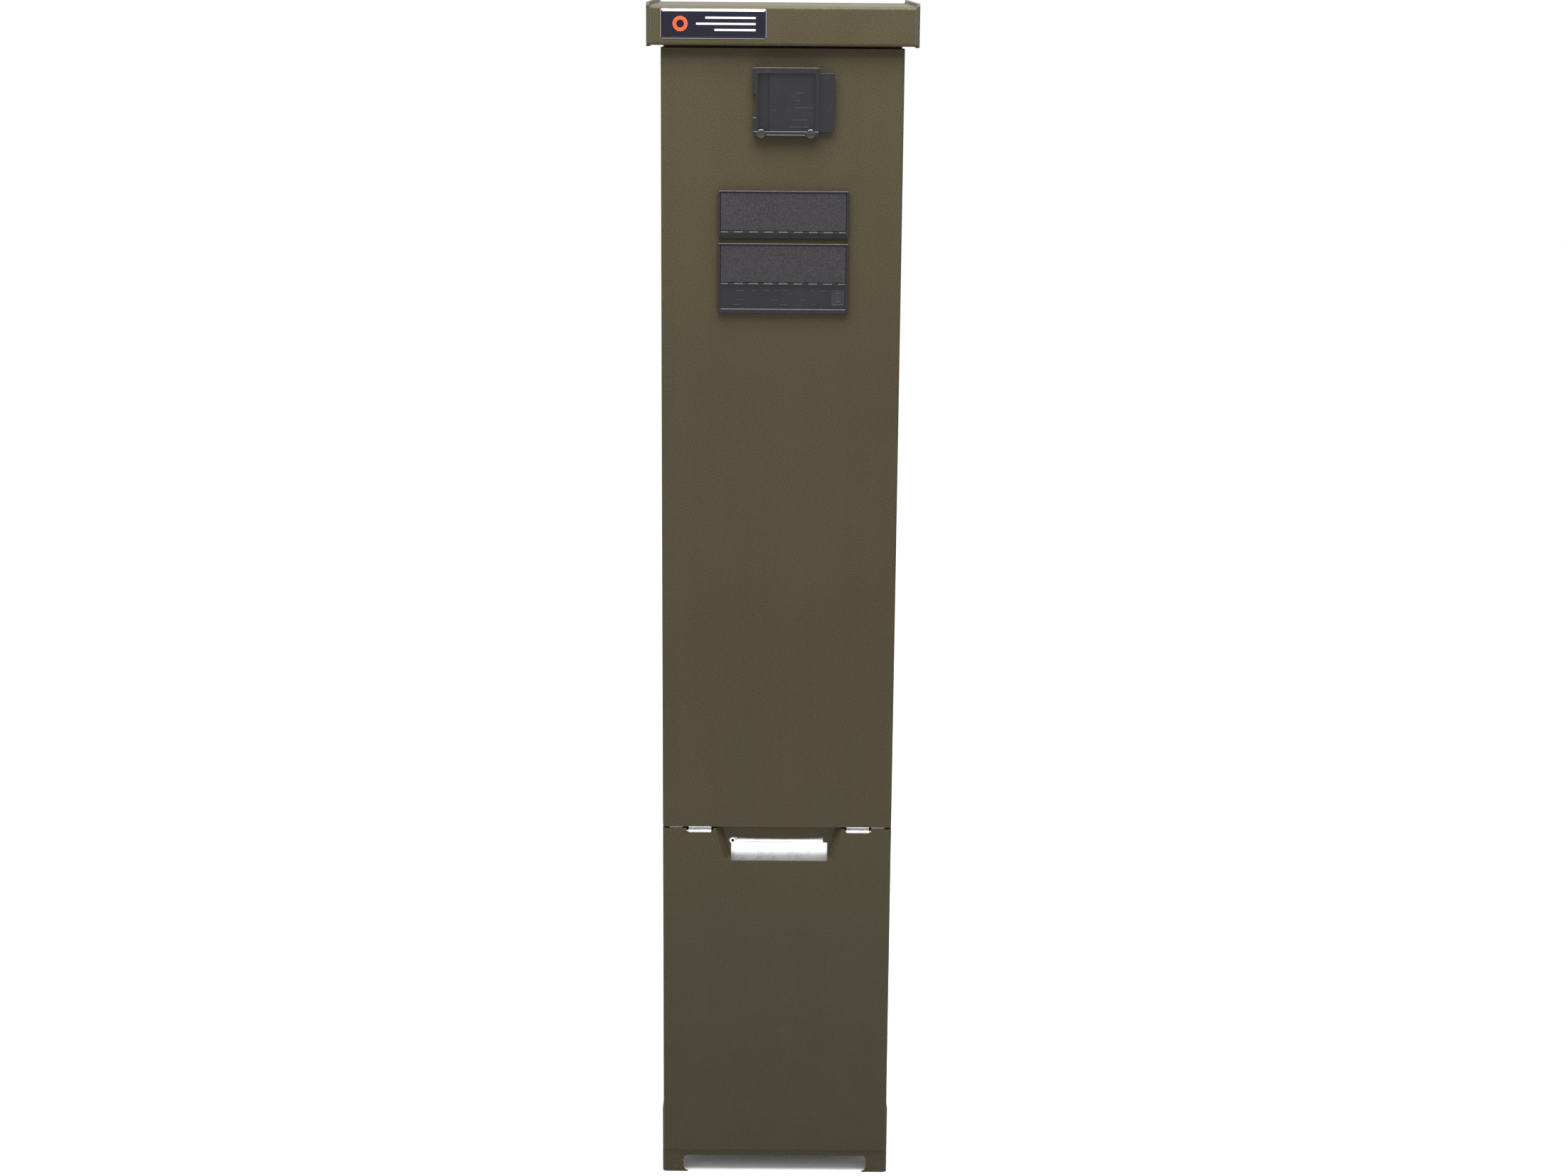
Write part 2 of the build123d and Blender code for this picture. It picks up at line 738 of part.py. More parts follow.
# Label holders: shallow trays with a toothed lip, and the strips they hold
label_border = 2.0
label_top_border = 1.5
label_recess = 4.0
label_lip_rise = 5.1
label_lip_height = 1.6
tooth_count = 8
tooth_pitch = 13.3
tooth_length = 5.4
tooth_height = 1.6
tooth_proud = 0.6
lower_strip_height = 26.2
upper_strip_depth = 2.5
lower_strip_depth = 1.2
lower_strip_rim = 3.9
insert_gap = 0.3
insert_thickness = 2.4
rivet_head = 3.2
rivet_head_height = 1.0
rivet_tail = 2.6
rivet_tail_height = 1.2

label_front_y = front_y - label_thickness
label_floor_y = label_front_y + label_recess
insert_back_y = label_floor_y - rivet_head_height
label_lips = {"upper": label_lip_rise, "lower": lower_strip_height}
strip_rims = {"upper": 0.0, "lower": lower_strip_rim}
strip_depths = {"upper": upper_strip_depth, "lower": lower_strip_depth}

for name, label_top, label_height in label_specs:
    label_bottom = label_top - label_height
    lip_z = label_bottom + label_lips[name]
    window_bottom = lip_z + label_lip_height / 2
    window_top = label_top - label_top_border
    strip_bottom = label_bottom + strip_rims[name]
    strip_top = lip_z - label_lip_height / 2
    with BuildPart() as label_frame:
        with BuildSketch(Plane.XZ.offset(-front_y)):
            with Locations((front_offset, label_bottom + label_height / 2)):
                Rectangle(label_width, label_height)
        extrude(amount=label_thickness)
        chamfer(faces().sort_by(Axis.Y)[0].edges(), tooth_proud)
        with BuildSketch(Plane.XZ.offset(-label_floor_y)):
            with Locations((front_offset, (window_bottom + window_top) / 2)):
                Rectangle(label_width - 2 * label_border, window_top - window_bottom)
        extrude(amount=label_recess, mode=Mode.SUBTRACT)
        with BuildSketch(Plane.XZ.offset(-(label_front_y + strip_depths[name]))):
            with Locations((front_offset, (strip_bottom + strip_top) / 2)):
                Rectangle(label_width - 2 * label_border, strip_top - strip_bottom)
        extrude(amount=strip_depths[name], mode=Mode.SUBTRACT)
        with BuildSketch(Plane.XZ.offset(-label_front_y)):
            with Locations((front_offset, lip_z)):
                with GridLocations(tooth_pitch, 1, tooth_count, 1):
                    Rectangle(tooth_length, tooth_height)
        extrude(amount=tooth_proud)
        with BuildSketch(Plane.XZ):
            with Locations(rivet_places):
                Circle(rivet_radius)
        extrude(amount=body_depth, mode=Mode.SUBTRACT)
    label_frame.part.label = f"label_frame_{name}"
    export_step(label_frame.part, f"parts/label_frame_{name}.step")

with BuildPart() as label_inserts:
    for name, label_top, label_height in label_specs:
        window_bottom = label_top - label_height + label_lips[name] + label_lip_height / 2
        window_top = label_top - label_top_border
        with BuildSketch(Plane.XZ.offset(-insert_back_y)):
            with Locations((front_offset, (window_bottom + window_top) / 2)):
                Rectangle(
                    label_width - 2 * (label_border + insert_gap),
                    window_top - window_bottom - 2 * insert_gap,
                )
        extrude(amount=insert_thickness)
label_inserts.part.label = "label_inserts"
export_step(label_inserts.part, "parts/label_inserts.step")

with BuildPart() as label_rivets:
    with BuildSketch(Plane.XZ.offset(-(door_inner_y + rivet_tail_height))):
        with Locations(rivet_places):
            Circle(rivet_radius)
    extrude(amount=door_inner_y + rivet_tail_height - label_floor_y)
    with BuildSketch(Plane.XZ.offset(-label_floor_y)):
        with Locations(rivet_places):
            Circle(rivet_head)
    extrude(amount=rivet_head_height)
    with BuildSketch(Plane.XZ.offset(-(door_inner_y + rivet_tail_height))):
        with Locations(rivet_places):
            Circle(rivet_tail)
    extrude(amount=rivet_tail_height)
label_rivets.part.label = "label_rivets"
export_step(label_rivets.part, "parts/label_rivets.step")

# Lower cover: a tray with hinge notches and a pressed finger recess with a window
return_base_gap = 2.0
notch_depth = 4.6
notch_margin = 2.0
notch_slant = 2.0
recess_gap = 4.2
recess_depth = 8.0
recess_height = 31.1
recess_taper = 7.8
recess_slope = 6.0
recess_radius = 4.0
recess_floor_gap = 1.0
window_width = 91.0
window_left_inset = 45.1
window_height = 20.8
window_sag = 1.2
window_step = 5.0
window_step_width = 4.0
eyelet_radius = 3.2
eyelet_gap = 0.6
eyelet_inset = 1.6
eyelet_drop = 3.2

notch_outer = tongue_outer + notch_margin
notch_inner = tongue_inner - notch_margin
recess_top_half = tongue_inner - recess_gap
recess_bottom_half = recess_top_half - recess_taper
recess_bottom = cover_top - recess_height
recess_floor_y = front_y + recess_depth
window_left = front_offset - window_left_inset
window_right = window_left + window_width
window_low = recess_bottom - recess_floor_gap
window_high = window_low + window_height
eyelet_x = window_left + eyelet_inset
eyelet_z = window_high - eyelet_drop
return_bottom = base_height + return_base_gap

with BuildPart() as lower_cover:
    with BuildSketch(Plane.XY.offset(lower_cover_bottom)):
        with BuildLine():
            FilletPolyline(
                (-half_width, front_y + door_return),
                (-half_width, front_y),
                (half_width, front_y),
                (half_width, front_y + door_return),
                radius=bend_radius,
            )
            offset(amount=sheet, side=Side.LEFT)
        make_face()
    extrude(amount=lower_cover_height)
    with BuildSketch(Plane.XZ.offset(-door_inner_y)):
        with Locations((0, (lower_cover_bottom + return_bottom) / 2)):
            Rectangle(2 * body_width, return_bottom - lower_cover_bottom)
    extrude(amount=-door_return, mode=Mode.SUBTRACT)
    # pan of the finger recess: outer form, joined to the front sheet
    with BuildSketch(Plane.XZ.offset(-door_inner_y)):
        with BuildLine():
            Polyline(
                (front_offset - recess_top_half, cover_top),
                (front_offset + recess_top_half, cover_top),
                (front_offset + recess_bottom_half, recess_bottom),
                (front_offset - recess_bottom_half, recess_bottom),
                close=True,
            )
        make_face()
    extrude(amount=-recess_depth)
    with BuildSketch(Plane.XZ.offset(-front_y)) as recess_mouth:
        with BuildLine():
            Polyline(
                (front_offset - recess_top_half, cover_top + recess_height),
                (front_offset - recess_top_half, cover_top),
                (front_offset - recess_bottom_half, recess_bottom),
                (front_offset + recess_bottom_half, recess_bottom),
                (front_offset + recess_top_half, cover_top),
                (front_offset + recess_top_half, cover_top + recess_height),
                close=True,
            )
        make_face()
        fillet(vertices().group_by(Axis.Z)[0], recess_radius)
    with BuildSketch(Plane.XZ.offset(-recess_floor_y)) as recess_floor:
        with BuildLine():
            Polyline(
                (front_offset - recess_top_half + recess_slope, cover_top + recess_height),
                (front_offset - recess_top_half + recess_slope, cover_top),
                (front_offset - recess_bottom_half + recess_slope, recess_bottom + recess_floor_gap),
                (front_offset + recess_bottom_half - recess_slope, recess_bottom + recess_floor_gap),
                (front_offset + recess_top_half - recess_slope, cover_top),
                (front_offset + recess_top_half - recess_slope, cover_top + recess_height),
                close=True,
            )
        make_face()
        fillet(vertices().group_by(Axis.Z)[0], recess_radius)
    loft(sections=[recess_mouth.sketch, recess_floor.sketch], mode=Mode.SUBTRACT)
    # window in the recess, with a stepped right corner and a round left corner
    with BuildSketch(Plane.XZ.offset(-(recess_floor_y + 2 * sheet))):
        with BuildLine():
            Line((window_left, window_low), (window_left, window_high))
            ThreePointArc(
                (window_left, window_high),
                ((window_left + window_right) / 2, window_high - window_sag),
                (window_right - window_step_width, window_high),
            )
            Polyline(
                (window_right - window_step_width, window_high),
                (window_right - window_step_width, window_high - window_step),
                (window_right, window_high - window_step),
                (window_right, window_low),
                (window_left, window_low),
            )
        make_face()
        with Locations((eyelet_x, eyelet_z)):
            Circle(eyelet_radius + eyelet_gap)
    extrude(amount=recess_depth + 2 * sheet, mode=Mode.SUBTRACT)
    with BuildSketch(Plane.XZ):
        for side in (-1, 1):
            with BuildLine():
                Polyline(
                    (front_offset + side * notch_outer, cover_top + joint_gap),
                    (front_offset + side * notch_outer, cover_top - notch_depth),
                    (front_offset + side * (notch_inner + notch_slant), cover_top - notch_depth),
                    (front_offset + side * notch_inner, cover_top),
                    (front_offset + side * notch_inner, cover_top + joint_gap),
                    close=True,
                )
            make_face()
    extrude(amount=body_depth, mode=Mode.SUBTRACT)
lower_cover.part.label = "lower_cover"
export_step(lower_cover.part, "parts/lower_cover.step")

peg_length = 10.5
peg_tip = 1.5

with BuildPart() as lower_cover_pegs:
    with BuildSketch(Plane.XZ.offset(-door_inner_y)):
        with Locations((0, peg_height)):
            with GridLocations(2 * peg_x, 1, 2, 1):
                Circle(peg_radius)
    extrude(amount=-peg_length)
    chamfer(edges().group_by(Axis.Y)[-1], peg_tip)
lower_cover_pegs.part.label = "lower_cover_pegs"
export_step(lower_cover_pegs.part, "parts/lower_cover_pegs.step")

# Catch plate behind the recess window, with a rolled bead and a hollow rivet
catch_side = 4.0
catch_below = 14.0
bead_radius = 2.3
bead_drop = 3.7
eyelet_hole = 1.5
eyelet_proud = 3.5

catch_front_y = member_back_y
catch_bottom = window_low - catch_below
catch_top = middle_bottom
bead_z = window_high - bead_drop

with BuildPart() as catch_plate:
    with BuildSketch(Plane.XZ.offset(-(catch_front_y + sheet))):
        with Locations(((window_left + window_right) / 2, (catch_bottom + catch_top) / 2)):
            Rectangle(window_width + 2 * catch_side, catch_top - catch_bottom)
    extrude(amount=sheet)
    with BuildSketch(Plane.YZ.offset(eyelet_x + eyelet_radius + eyelet_gap)):
        with Locations((catch_front_y, bead_z)):
            Circle(bead_radius)
        with Locations((catch_front_y + bead_radius, bead_z)):
            Rectangle(2 * bead_radius, 2 * bead_radius, mode=Mode.SUBTRACT)
    extrude(amount=window_right - window_step_width - eyelet_x - eyelet_radius - 2 * eyelet_gap)
    with BuildSketch(Plane.XZ):
        with Locations((eyelet_x, eyelet_z)):
            Circle(eyelet_hole)
    extrude(amount=body_depth, mode=Mode.SUBTRACT)
catch_plate.part.label = "catch_plate"
export_step(catch_plate.part, "parts/catch_plate.step")

with BuildPart() as catch_eyelet:
    with BuildSketch(Plane.XZ.offset(-catch_front_y)):
        with Locations((eyelet_x, eyelet_z)):
            Circle(eyelet_radius)
            Circle(eyelet_hole, mode=Mode.SUBTRACT)
    extrude(amount=eyelet_proud)
    fillet(edges().group_by(Axis.Y)[0].sort_by(SortBy.LENGTH)[-1], eyelet_hole / 2)
catch_eyelet.part.label = "catch_eyelet"
export_step(catch_eyelet.part, "parts/catch_eyelet.step")

# Mounting plate on spacers and welded studs
plate_standoff = 12.5
plate_sheet = 2.0
plate_side_gap = 9.0
plate_above = 68.0
plate_below = 30.0
spacer_radius = 6.0
plate_stud_inset = 15.0
plate_nut_gap = 1.5

equipment_y = shell_inner_back - plate_standoff - plate_sheet
equipment_half = shell_inner_half - plate_side_gap
equipment_bottom = door_bottom + plate_above
equipment_top = door_top - plate_below
equipment_middle_z = (equipment_bottom + equipment_top) / 2
plate_stud_span_x = 2 * (equipment_half - plate_stud_inset)
plate_stud_span_z = equipment_top - equipment_bottom - 2 * plate_stud_inset

with BuildPart() as mounting_plate:
    with BuildSketch(Plane.XZ.offset(-(equipment_y + plate_sheet))):
        with Locations((0, equipment_middle_z)):
            Rectangle(2 * equipment_half, equipment_top - equipment_bottom)
            with GridLocations(plate_stud_span_x, plate_stud_span_z, 2, 2):
                Circle(stud_radius + stud_clearance, mode=Mode.SUBTRACT)
    extrude(amount=plate_sheet)
mounting_plate.part.label = "mounting_plate"
export_step(mounting_plate.part, "parts/mounting_plate.step")

with BuildPart() as mounting_spacers:
    with BuildSketch(Plane.XZ.offset(-shell_inner_back)):
        with Locations((0, equipment_middle_z)):
            with GridLocations(plate_stud_span_x, plate_stud_span_z, 2, 2):
                Circle(spacer_radius)
                Circle(stud_radius + stud_clearance, mode=Mode.SUBTRACT)
    extrude(amount=plate_standoff)
mounting_spacers.part.label = "mounting_spacers"
export_step(mounting_spacers.part, "parts/mounting_spacers.step")

with BuildPart() as mounting_studs:
    with BuildSketch(Plane.XZ.offset(-shell_inner_back)):
        with Locations((0, equipment_middle_z)):
            with GridLocations(plate_stud_span_x, plate_stud_span_z, 2, 2):
                Circle(stud_radius)
    extrude(amount=plate_standoff + plate_sheet + nut_height + plate_nut_gap)
    with BuildSketch(Plane.XZ.offset(-equipment_y)):
        with Locations((0, equipment_middle_z)):
            with GridLocations(plate_stud_span_x, plate_stud_span_z, 2, 2):
                RegularPolygon(nut_across / 2, 6, major_radius=False)
    extrude(amount=nut_height)
mounting_studs.part.label = "mounting_studs"
export_step(mounting_studs.part, "parts/mounting_studs.step")

# Fuse-switch-disconnector, size 00, three poles
pole_pitch = 33.0
switch_side_wall = 5.5
switch_height = 140.0
switch_depth = 50.0
switch_drop = 98.0
bay_width = 29.0
bay_depth = 34.0
bay_bottom_wall = 14.0
bay_top_wall = 14.0
carrier_side_gap = 0.5
carrier_height = 104.0
carrier_depth = 25.4
carrier_gap = 2.8
carrier_rise = 10.0
carrier_pocket = 10.0
carrier_wall = 3.0
ear_thickness = 1.5
ear_reach = 10.0
ear_height = 16.0
pivot_radius = 2.0
pivot_setback = 2.0
pivot_rise = 4.0
pivot_length = 6.0
fuse_width = 24.0
fuse_height = 50.0
fuse_rise = 56.0
fuse_depth = 36.6
blade_width = 5.0
blade_depth = 15.0
blade_length = 14.0
jaw_wall = 2.0
jaw_gap = 0.3
jaw_height = 14.0
grip_width = 60.0
grip_height = 12.0
grip_proud = 12.0
grip_drop = 16.0
pane_width = 80.0
pane_height = 34.0
pane_rise = 52.0
pane_thickness = 1.5

switch_top = equipment_top + plate_below - switch_drop
switch_bottom = switch_top - switch_height
switch_front_y = equipment_y - switch_depth
switch_width = 2 * pole_pitch + bay_width + 2 * switch_side_wall
switch_half = switch_width / 2
carrier_half = switch_half - ear_thickness - carrier_side_gap
carrier_bottom = switch_bottom + carrier_rise
carrier_back_y = switch_front_y - carrier_gap
carrier_front_y = carrier_back_y - carrier_depth
pivot_y = carrier_back_y - pivot_setback
pivot_z = carrier_bottom + pivot_rise
fuse_front_y = carrier_back_y - carrier_pocket
fuse_middle_z = pivot_z + fuse_rise
blade_middle_y = fuse_front_y + fuse_depth / 2 + blade_depth / 2
pole_places = (-pole_pitch, 0.0, pole_pitch)
blade_offset = (fuse_height + blade_length) / 2

with BuildPart() as switch_base:
    with BuildSketch(Plane.XZ.offset(-equipment_y)):
        with Locations((0, (switch_bottom + switch_top) / 2)):
            Rectangle(switch_width, switch_height)
    extrude(amount=switch_depth)
    with BuildSketch(Plane.XZ.offset(-switch_front_y)):
        with Locations(
            (0, (switch_bottom + bay_bottom_wall + switch_top - bay_top_wall) / 2)
        ):
            with GridLocations(pole_pitch, 1, 3, 1):
                Rectangle(bay_width, switch_height - bay_bottom_wall - bay_top_wall)
    extrude(amount=-bay_depth, mode=Mode.SUBTRACT)
    for side in (-1, 1):
        with BuildSketch(Plane.YZ.offset(side * (switch_half - ear_thickness))):
            with Locations((switch_front_y - ear_reach / 2, pivot_z)):
                Rectangle(ear_reach, ear_height)
            with Locations((pivot_y, pivot_z)):
                Circle(pivot_radius, mode=Mode.SUBTRACT)
        extrude(amount=side * ear_thickness)
switch_base.part.label = "switch_base"
export_step(switch_base.part, "parts/switch_base.step")

with BuildPart() as switch_pivots:
    for side in (-1, 1):
        with BuildSketch(Plane.YZ.offset(side * switch_half)):
            with Locations((pivot_y, pivot_z)):
                Circle(pivot_radius)
        extrude(amount=-side * (pivot_length + ear_thickness))
switch_pivots.part.label = "switch_pivots"
export_step(switch_pivots.part, "parts/switch_pivots.step")

with BuildPart() as switch_jaws:
    jaw_width = blade_width + 2 * (jaw_gap + jaw_wall)
    jaw_back_y = switch_front_y + bay_depth
    jaw_front_y = blade_middle_y - blade_depth / 2
    for jaw_z in (fuse_middle_z - blade_offset, fuse_middle_z + blade_offset):
        with BuildSketch(Plane.XZ.offset(-jaw_back_y)):
            with Locations((0, jaw_z)):
                with GridLocations(pole_pitch, 1, 3, 1):
                    Rectangle(jaw_width, jaw_height)
        extrude(amount=jaw_back_y - jaw_front_y)
        with BuildSketch(Plane.XZ.offset(jaw_wall - jaw_back_y)):
            with Locations((0, jaw_z)):
                with GridLocations(pole_pitch, 1, 3, 1):
                    Rectangle(blade_width + 2 * jaw_gap, 2 * jaw_height)
        extrude(amount=jaw_back_y - jaw_front_y, mode=Mode.SUBTRACT)
switch_jaws.part.label = "switch_jaws"
export_step(switch_jaws.part, "parts/switch_jaws.step")

with BuildPart() as switch_carrier:
    with BuildSketch(Plane.XZ.offset(-carrier_back_y)):
        with Locations((0, carrier_bottom + carrier_height / 2)):
            Rectangle(2 * carrier_half, carrier_height)
    extrude(amount=carrier_depth)
    chamfer(faces().sort_by(Axis.Y)[0].edges(), carrier_wall)
    with BuildSketch(Plane.XZ.offset(-carrier_back_y)):
        with Locations((0, pivot_z + (carrier_height - pivot_rise) / 2)):
            Rectangle(
                2 * (carrier_half - carrier_wall),
                carrier_height - 2 * pivot_rise - 2 * carrier_wall,
            )
    extrude(amount=carrier_pocket, mode=Mode.SUBTRACT)
    with BuildSketch(Plane.XZ.offset(-carrier_front_y)):
        with Locations((0, carrier_bottom + carrier_height - grip_drop)):
            RectangleRounded(grip_width, grip_height, carrier_wall)
    extrude(amount=grip_proud)
    with BuildSketch(Plane.XZ.offset(-(carrier_front_y + pane_thickness))):
        with Locations((0, carrier_bottom + pane_rise)):
            Rectangle(pane_width, pane_height)
    extrude(amount=pane_thickness, mode=Mode.SUBTRACT)
    with BuildSketch(Plane.YZ):
        with Locations((pivot_y, pivot_z)):
            Circle(pivot_radius + pin_clearance)
    extrude(amount=switch_width, both=True, mode=Mode.SUBTRACT)
switch_carrier.part.label = "switch_carrier"
export_step(switch_carrier.part, "parts/switch_carrier.step")

with BuildPart() as switch_window:
    with BuildSketch(Plane.XZ.offset(-(carrier_front_y + pane_thickness))):
        with Locations((0, carrier_bottom + pane_rise)):
            Rectangle(pane_width, pane_height)
    extrude(amount=pane_thickness)
switch_window.part.label = "switch_window"
export_step(switch_window.part, "parts/switch_window.step")

with BuildPart() as fuse_links:
    with BuildSketch(Plane.XZ.offset(-fuse_front_y)):
        with Locations((0, fuse_middle_z)):
            with GridLocations(pole_pitch, 1, 3, 1):
                Rectangle(fuse_width, fuse_height)
    extrude(amount=-fuse_depth)
fuse_links.part.label = "fuse_links"
export_step(fuse_links.part, "parts/fuse_links.step")

with BuildPart() as fuse_blades:
    for blade_z in (fuse_middle_z - blade_offset, fuse_middle_z + blade_offset):
        with BuildSketch(Plane.XZ.offset(-(blade_middle_y + blade_depth / 2))):
            with Locations((0, blade_z)):
                with GridLocations(pole_pitch, 1, 3, 1):
                    Rectangle(blade_width, blade_length)
        extrude(amount=blade_depth)
fuse_blades.part.label = "fuse_blades"
export_step(fuse_blades.part, "parts/fuse_blades.step")

# Phase bars and PEN bar, on supports
bar_width = 20.0
bar_thickness = 5.0
bar_standoff = 29.0
bar_rise = 78.0
shroud_side_gap = 13.0
shroud_foot = 8.0
support_height = 22.0
support_margin = 5.0
support_inset = 40.0
bar_screw_radius = 3.0
bar_screw_head = 5.0
bar_screw_height = 4.0
bar_screw_length = 15.0

bar_bottom = door_bottom + bar_rise
bar_back_y = equipment_y - bar_standoff
bar_front_y = bar_back_y - bar_thickness
shroud_half = pole_pitch + bar_width / 2 + shroud_side_gap
pen_x = shroud_half + shroud_foot + bar_width / 2
bar_places = (-pole_pitch, 0.0, pole_pitch, pen_x)
support_heights = (bar_bottom + support_inset, switch_bottom - support_inset)
bar_screw_places = [(x, z) for x in bar_places for z in support_heights]

for number, bar_x in enumerate(pole_places, 1):
    with BuildPart() as phase_bar:
        with BuildSketch(Plane.XZ.offset(-bar_back_y)):
            with Locations((bar_x, (bar_bottom + switch_bottom) / 2)):
                Rectangle(bar_width, switch_bottom - bar_bottom)
            with Locations(bar_screw_places):
                Circle(bar_screw_radius, mode=Mode.SUBTRACT)
        extrude(amount=bar_thickness)
    phase_bar.part.label = f"phase_bar_{number}"
    export_step(phase_bar.part, f"parts/phase_bar_{number}.step")

with BuildPart() as pen_bar:
    with BuildSketch(Plane.XZ.offset(-bar_back_y)):
        with Locations((pen_x, (bar_bottom + switch_bottom) / 2)):
            Rectangle(bar_width, switch_bottom - bar_bottom)
        with Locations(bar_screw_places):
            Circle(bar_screw_radius, mode=Mode.SUBTRACT)
    extrude(amount=bar_thickness)
pen_bar.part.label = "pen_bar"
export_step(pen_bar.part, "parts/pen_bar.step")

with BuildPart() as bar_supports:
    for support_z in support_heights:
        with BuildSketch(Plane.XZ.offset(-equipment_y)):
            with Locations((0, support_z)):
                Rectangle(2 * pole_pitch + bar_width + 2 * support_margin, support_height)
            with Locations((pen_x, support_z)):
                Rectangle(bar_width, support_height)
            with Locations(bar_screw_places):
                Circle(bar_screw_radius, mode=Mode.SUBTRACT)
        extrude(amount=bar_standoff)
bar_supports.part.label = "bar_supports"
export_step(bar_supports.part, "parts/bar_supports.step")

with BuildPart() as bar_screws:
    with BuildSketch(Plane.XZ.offset(-bar_front_y)):
        with Locations(bar_screw_places):
            RegularPolygon(bar_screw_head, 6, major_radius=False)
    extrude(amount=bar_screw_height)
    with BuildSketch(Plane.XZ.offset(-bar_front_y)):
        with Locations(bar_screw_places):
            Circle(bar_screw_radius)
    extrude(amount=-bar_screw_length)
bar_screws.part.label = "bar_screws"
export_step(bar_screws.part, "parts/bar_screws.step")

# Cable terminals on the bars
terminal_width = 24.0
terminal_height = 26.0
terminal_depth = 28.0
terminal_hole = 6.0
terminal_hole_setback = 11.0
terminal_rise = 100.0
pen_terminal_pitch = 32.0
terminal_screw_radius = 4.0
terminal_screw_length = 20.0

terminal_z = bar_bottom + terminal_rise
terminal_front_y = bar_front_y - terminal_depth
terminal_hole_y = bar_front_y - terminal_hole_setback
phase_terminal_places = [(x, terminal_z) for x in pole_places]
pen_terminal_places = [(pen_x, terminal_z), (pen_x, terminal_z + pen_terminal_pitch)]

for node_name, places in (
    ("phase_terminals", phase_terminal_places),
    ("pen_terminals", pen_terminal_places),
):
    with BuildPart() as terminals:
        with BuildSketch(Plane.XZ.offset(-bar_front_y)):
            with Locations(places):
                Rectangle(terminal_width, terminal_height)
        extrude(amount=terminal_depth)
        with BuildSketch(Plane.XY.offset(bar_bottom)):
            with Locations([(x, terminal_hole_y) for x, z in places]):
                Circle(terminal_hole)
        extrude(amount=switch_bottom - bar_bottom, mode=Mode.SUBTRACT)
        with BuildSketch(Plane.XZ.offset(-terminal_hole_y)):
            with Locations(places):
                Circle(terminal_screw_radius)
        extrude(amount=terminal_depth, mode=Mode.SUBTRACT)
    terminals.part.label = node_name
    export_step(terminals.part, f"parts/{node_name}.step")

with BuildPart() as terminal_screws:
    with BuildSketch(Plane.XZ.offset(-(terminal_hole_y - terminal_hole))):
        with Locations(phase_terminal_places + pen_terminal_places):
            Circle(terminal_screw_radius)
            RegularPolygon(terminal_screw_radius / 2, 6, mode=Mode.SUBTRACT)
    extrude(amount=terminal_screw_length)
terminal_screws.part.label = "terminal_screws"
export_step(terminal_screws.part, "parts/terminal_screws.step")

# Clear shroud over the bars, above the terminals
shroud_sheet = 2.0
shroud_top_gap = 22.0
shroud_bottom_gap = 50.0
shroud_reach = 78.0

shroud_top = switch_bottom - shroud_top_gap
shroud_bottom = terminal_z + shroud_bottom_gap
shroud_front_y = equipment_y - shroud_reach

with BuildPart() as bar_shroud:
    with BuildSketch(Plane.XY.offset(shroud_bottom)):
        with BuildLine():
            Polyline(
                (-shroud_half - shroud_foot, equipment_y),
                (-shroud_half, equipment_y),
                (-shroud_half, shroud_front_y),
                (shroud_half, shroud_front_y),
                (shroud_half, equipment_y),
                (shroud_half + shroud_foot, equipment_y),
            )
            offset(amount=shroud_sheet, side=Side.RIGHT)
        make_face()
    extrude(amount=shroud_top - shroud_bottom)
bar_shroud.part.label = "bar_shroud"
export_step(bar_shroud.part, "parts/bar_shroud.step")

# Cable rail across the cable compartment, with saddles that clamp the cables
rail_z = 200.0
cable_rail_height = 30.0
cable_rail_depth = 20.0
cable_rail_front_y = 30.0
rail_wall = 2.0
rail_slot = 12.0
saddle_width = 44.0
saddle_height = 30.0
saddle_depth = 36.0
saddle_bore = 14.0
saddle_setback = 17.0
saddle_pitch = 56.0
saddle_screw_radius = 2.5
saddle_screw_head = 4.0
saddle_screw_height = 3.0
saddle_screw_inset = 3.9

cable_rail_back_y = cable_rail_front_y + cable_rail_depth
saddle_front_y = cable_rail_front_y - saddle_depth
saddle_screw_x = saddle_width / 2 - saddle_screw_inset
saddle_screw_places = [
    (saddle_x + offset_x, rail_z)
    for saddle_x in (-saddle_pitch, 0.0, saddle_pitch)
    for offset_x in (-saddle_screw_x, saddle_screw_x)
]

with BuildPart() as cable_rail:
    with BuildSketch(Plane.YZ.offset(-shell_inner_half)):
        with Locations(((cable_rail_front_y + cable_rail_back_y) / 2, rail_z)):
            Rectangle(cable_rail_depth, cable_rail_height)
            Rectangle(
                cable_rail_depth - 2 * rail_wall,
                cable_rail_height - 2 * rail_wall,
                mode=Mode.SUBTRACT,
            )
        with Locations((cable_rail_back_y, rail_z)):
            Rectangle(4 * rail_wall, rail_slot, mode=Mode.SUBTRACT)
    extrude(amount=2 * shell_inner_half)
    with BuildSketch(Plane.XZ.offset(-cable_rail_front_y)):
        with Locations(saddle_screw_places):
            Circle(saddle_screw_radius)
    extrude(amount=-rail_wall, mode=Mode.SUBTRACT)
cable_rail.part.label = "cable_rail"
export_step(cable_rail.part, "parts/cable_rail.step")

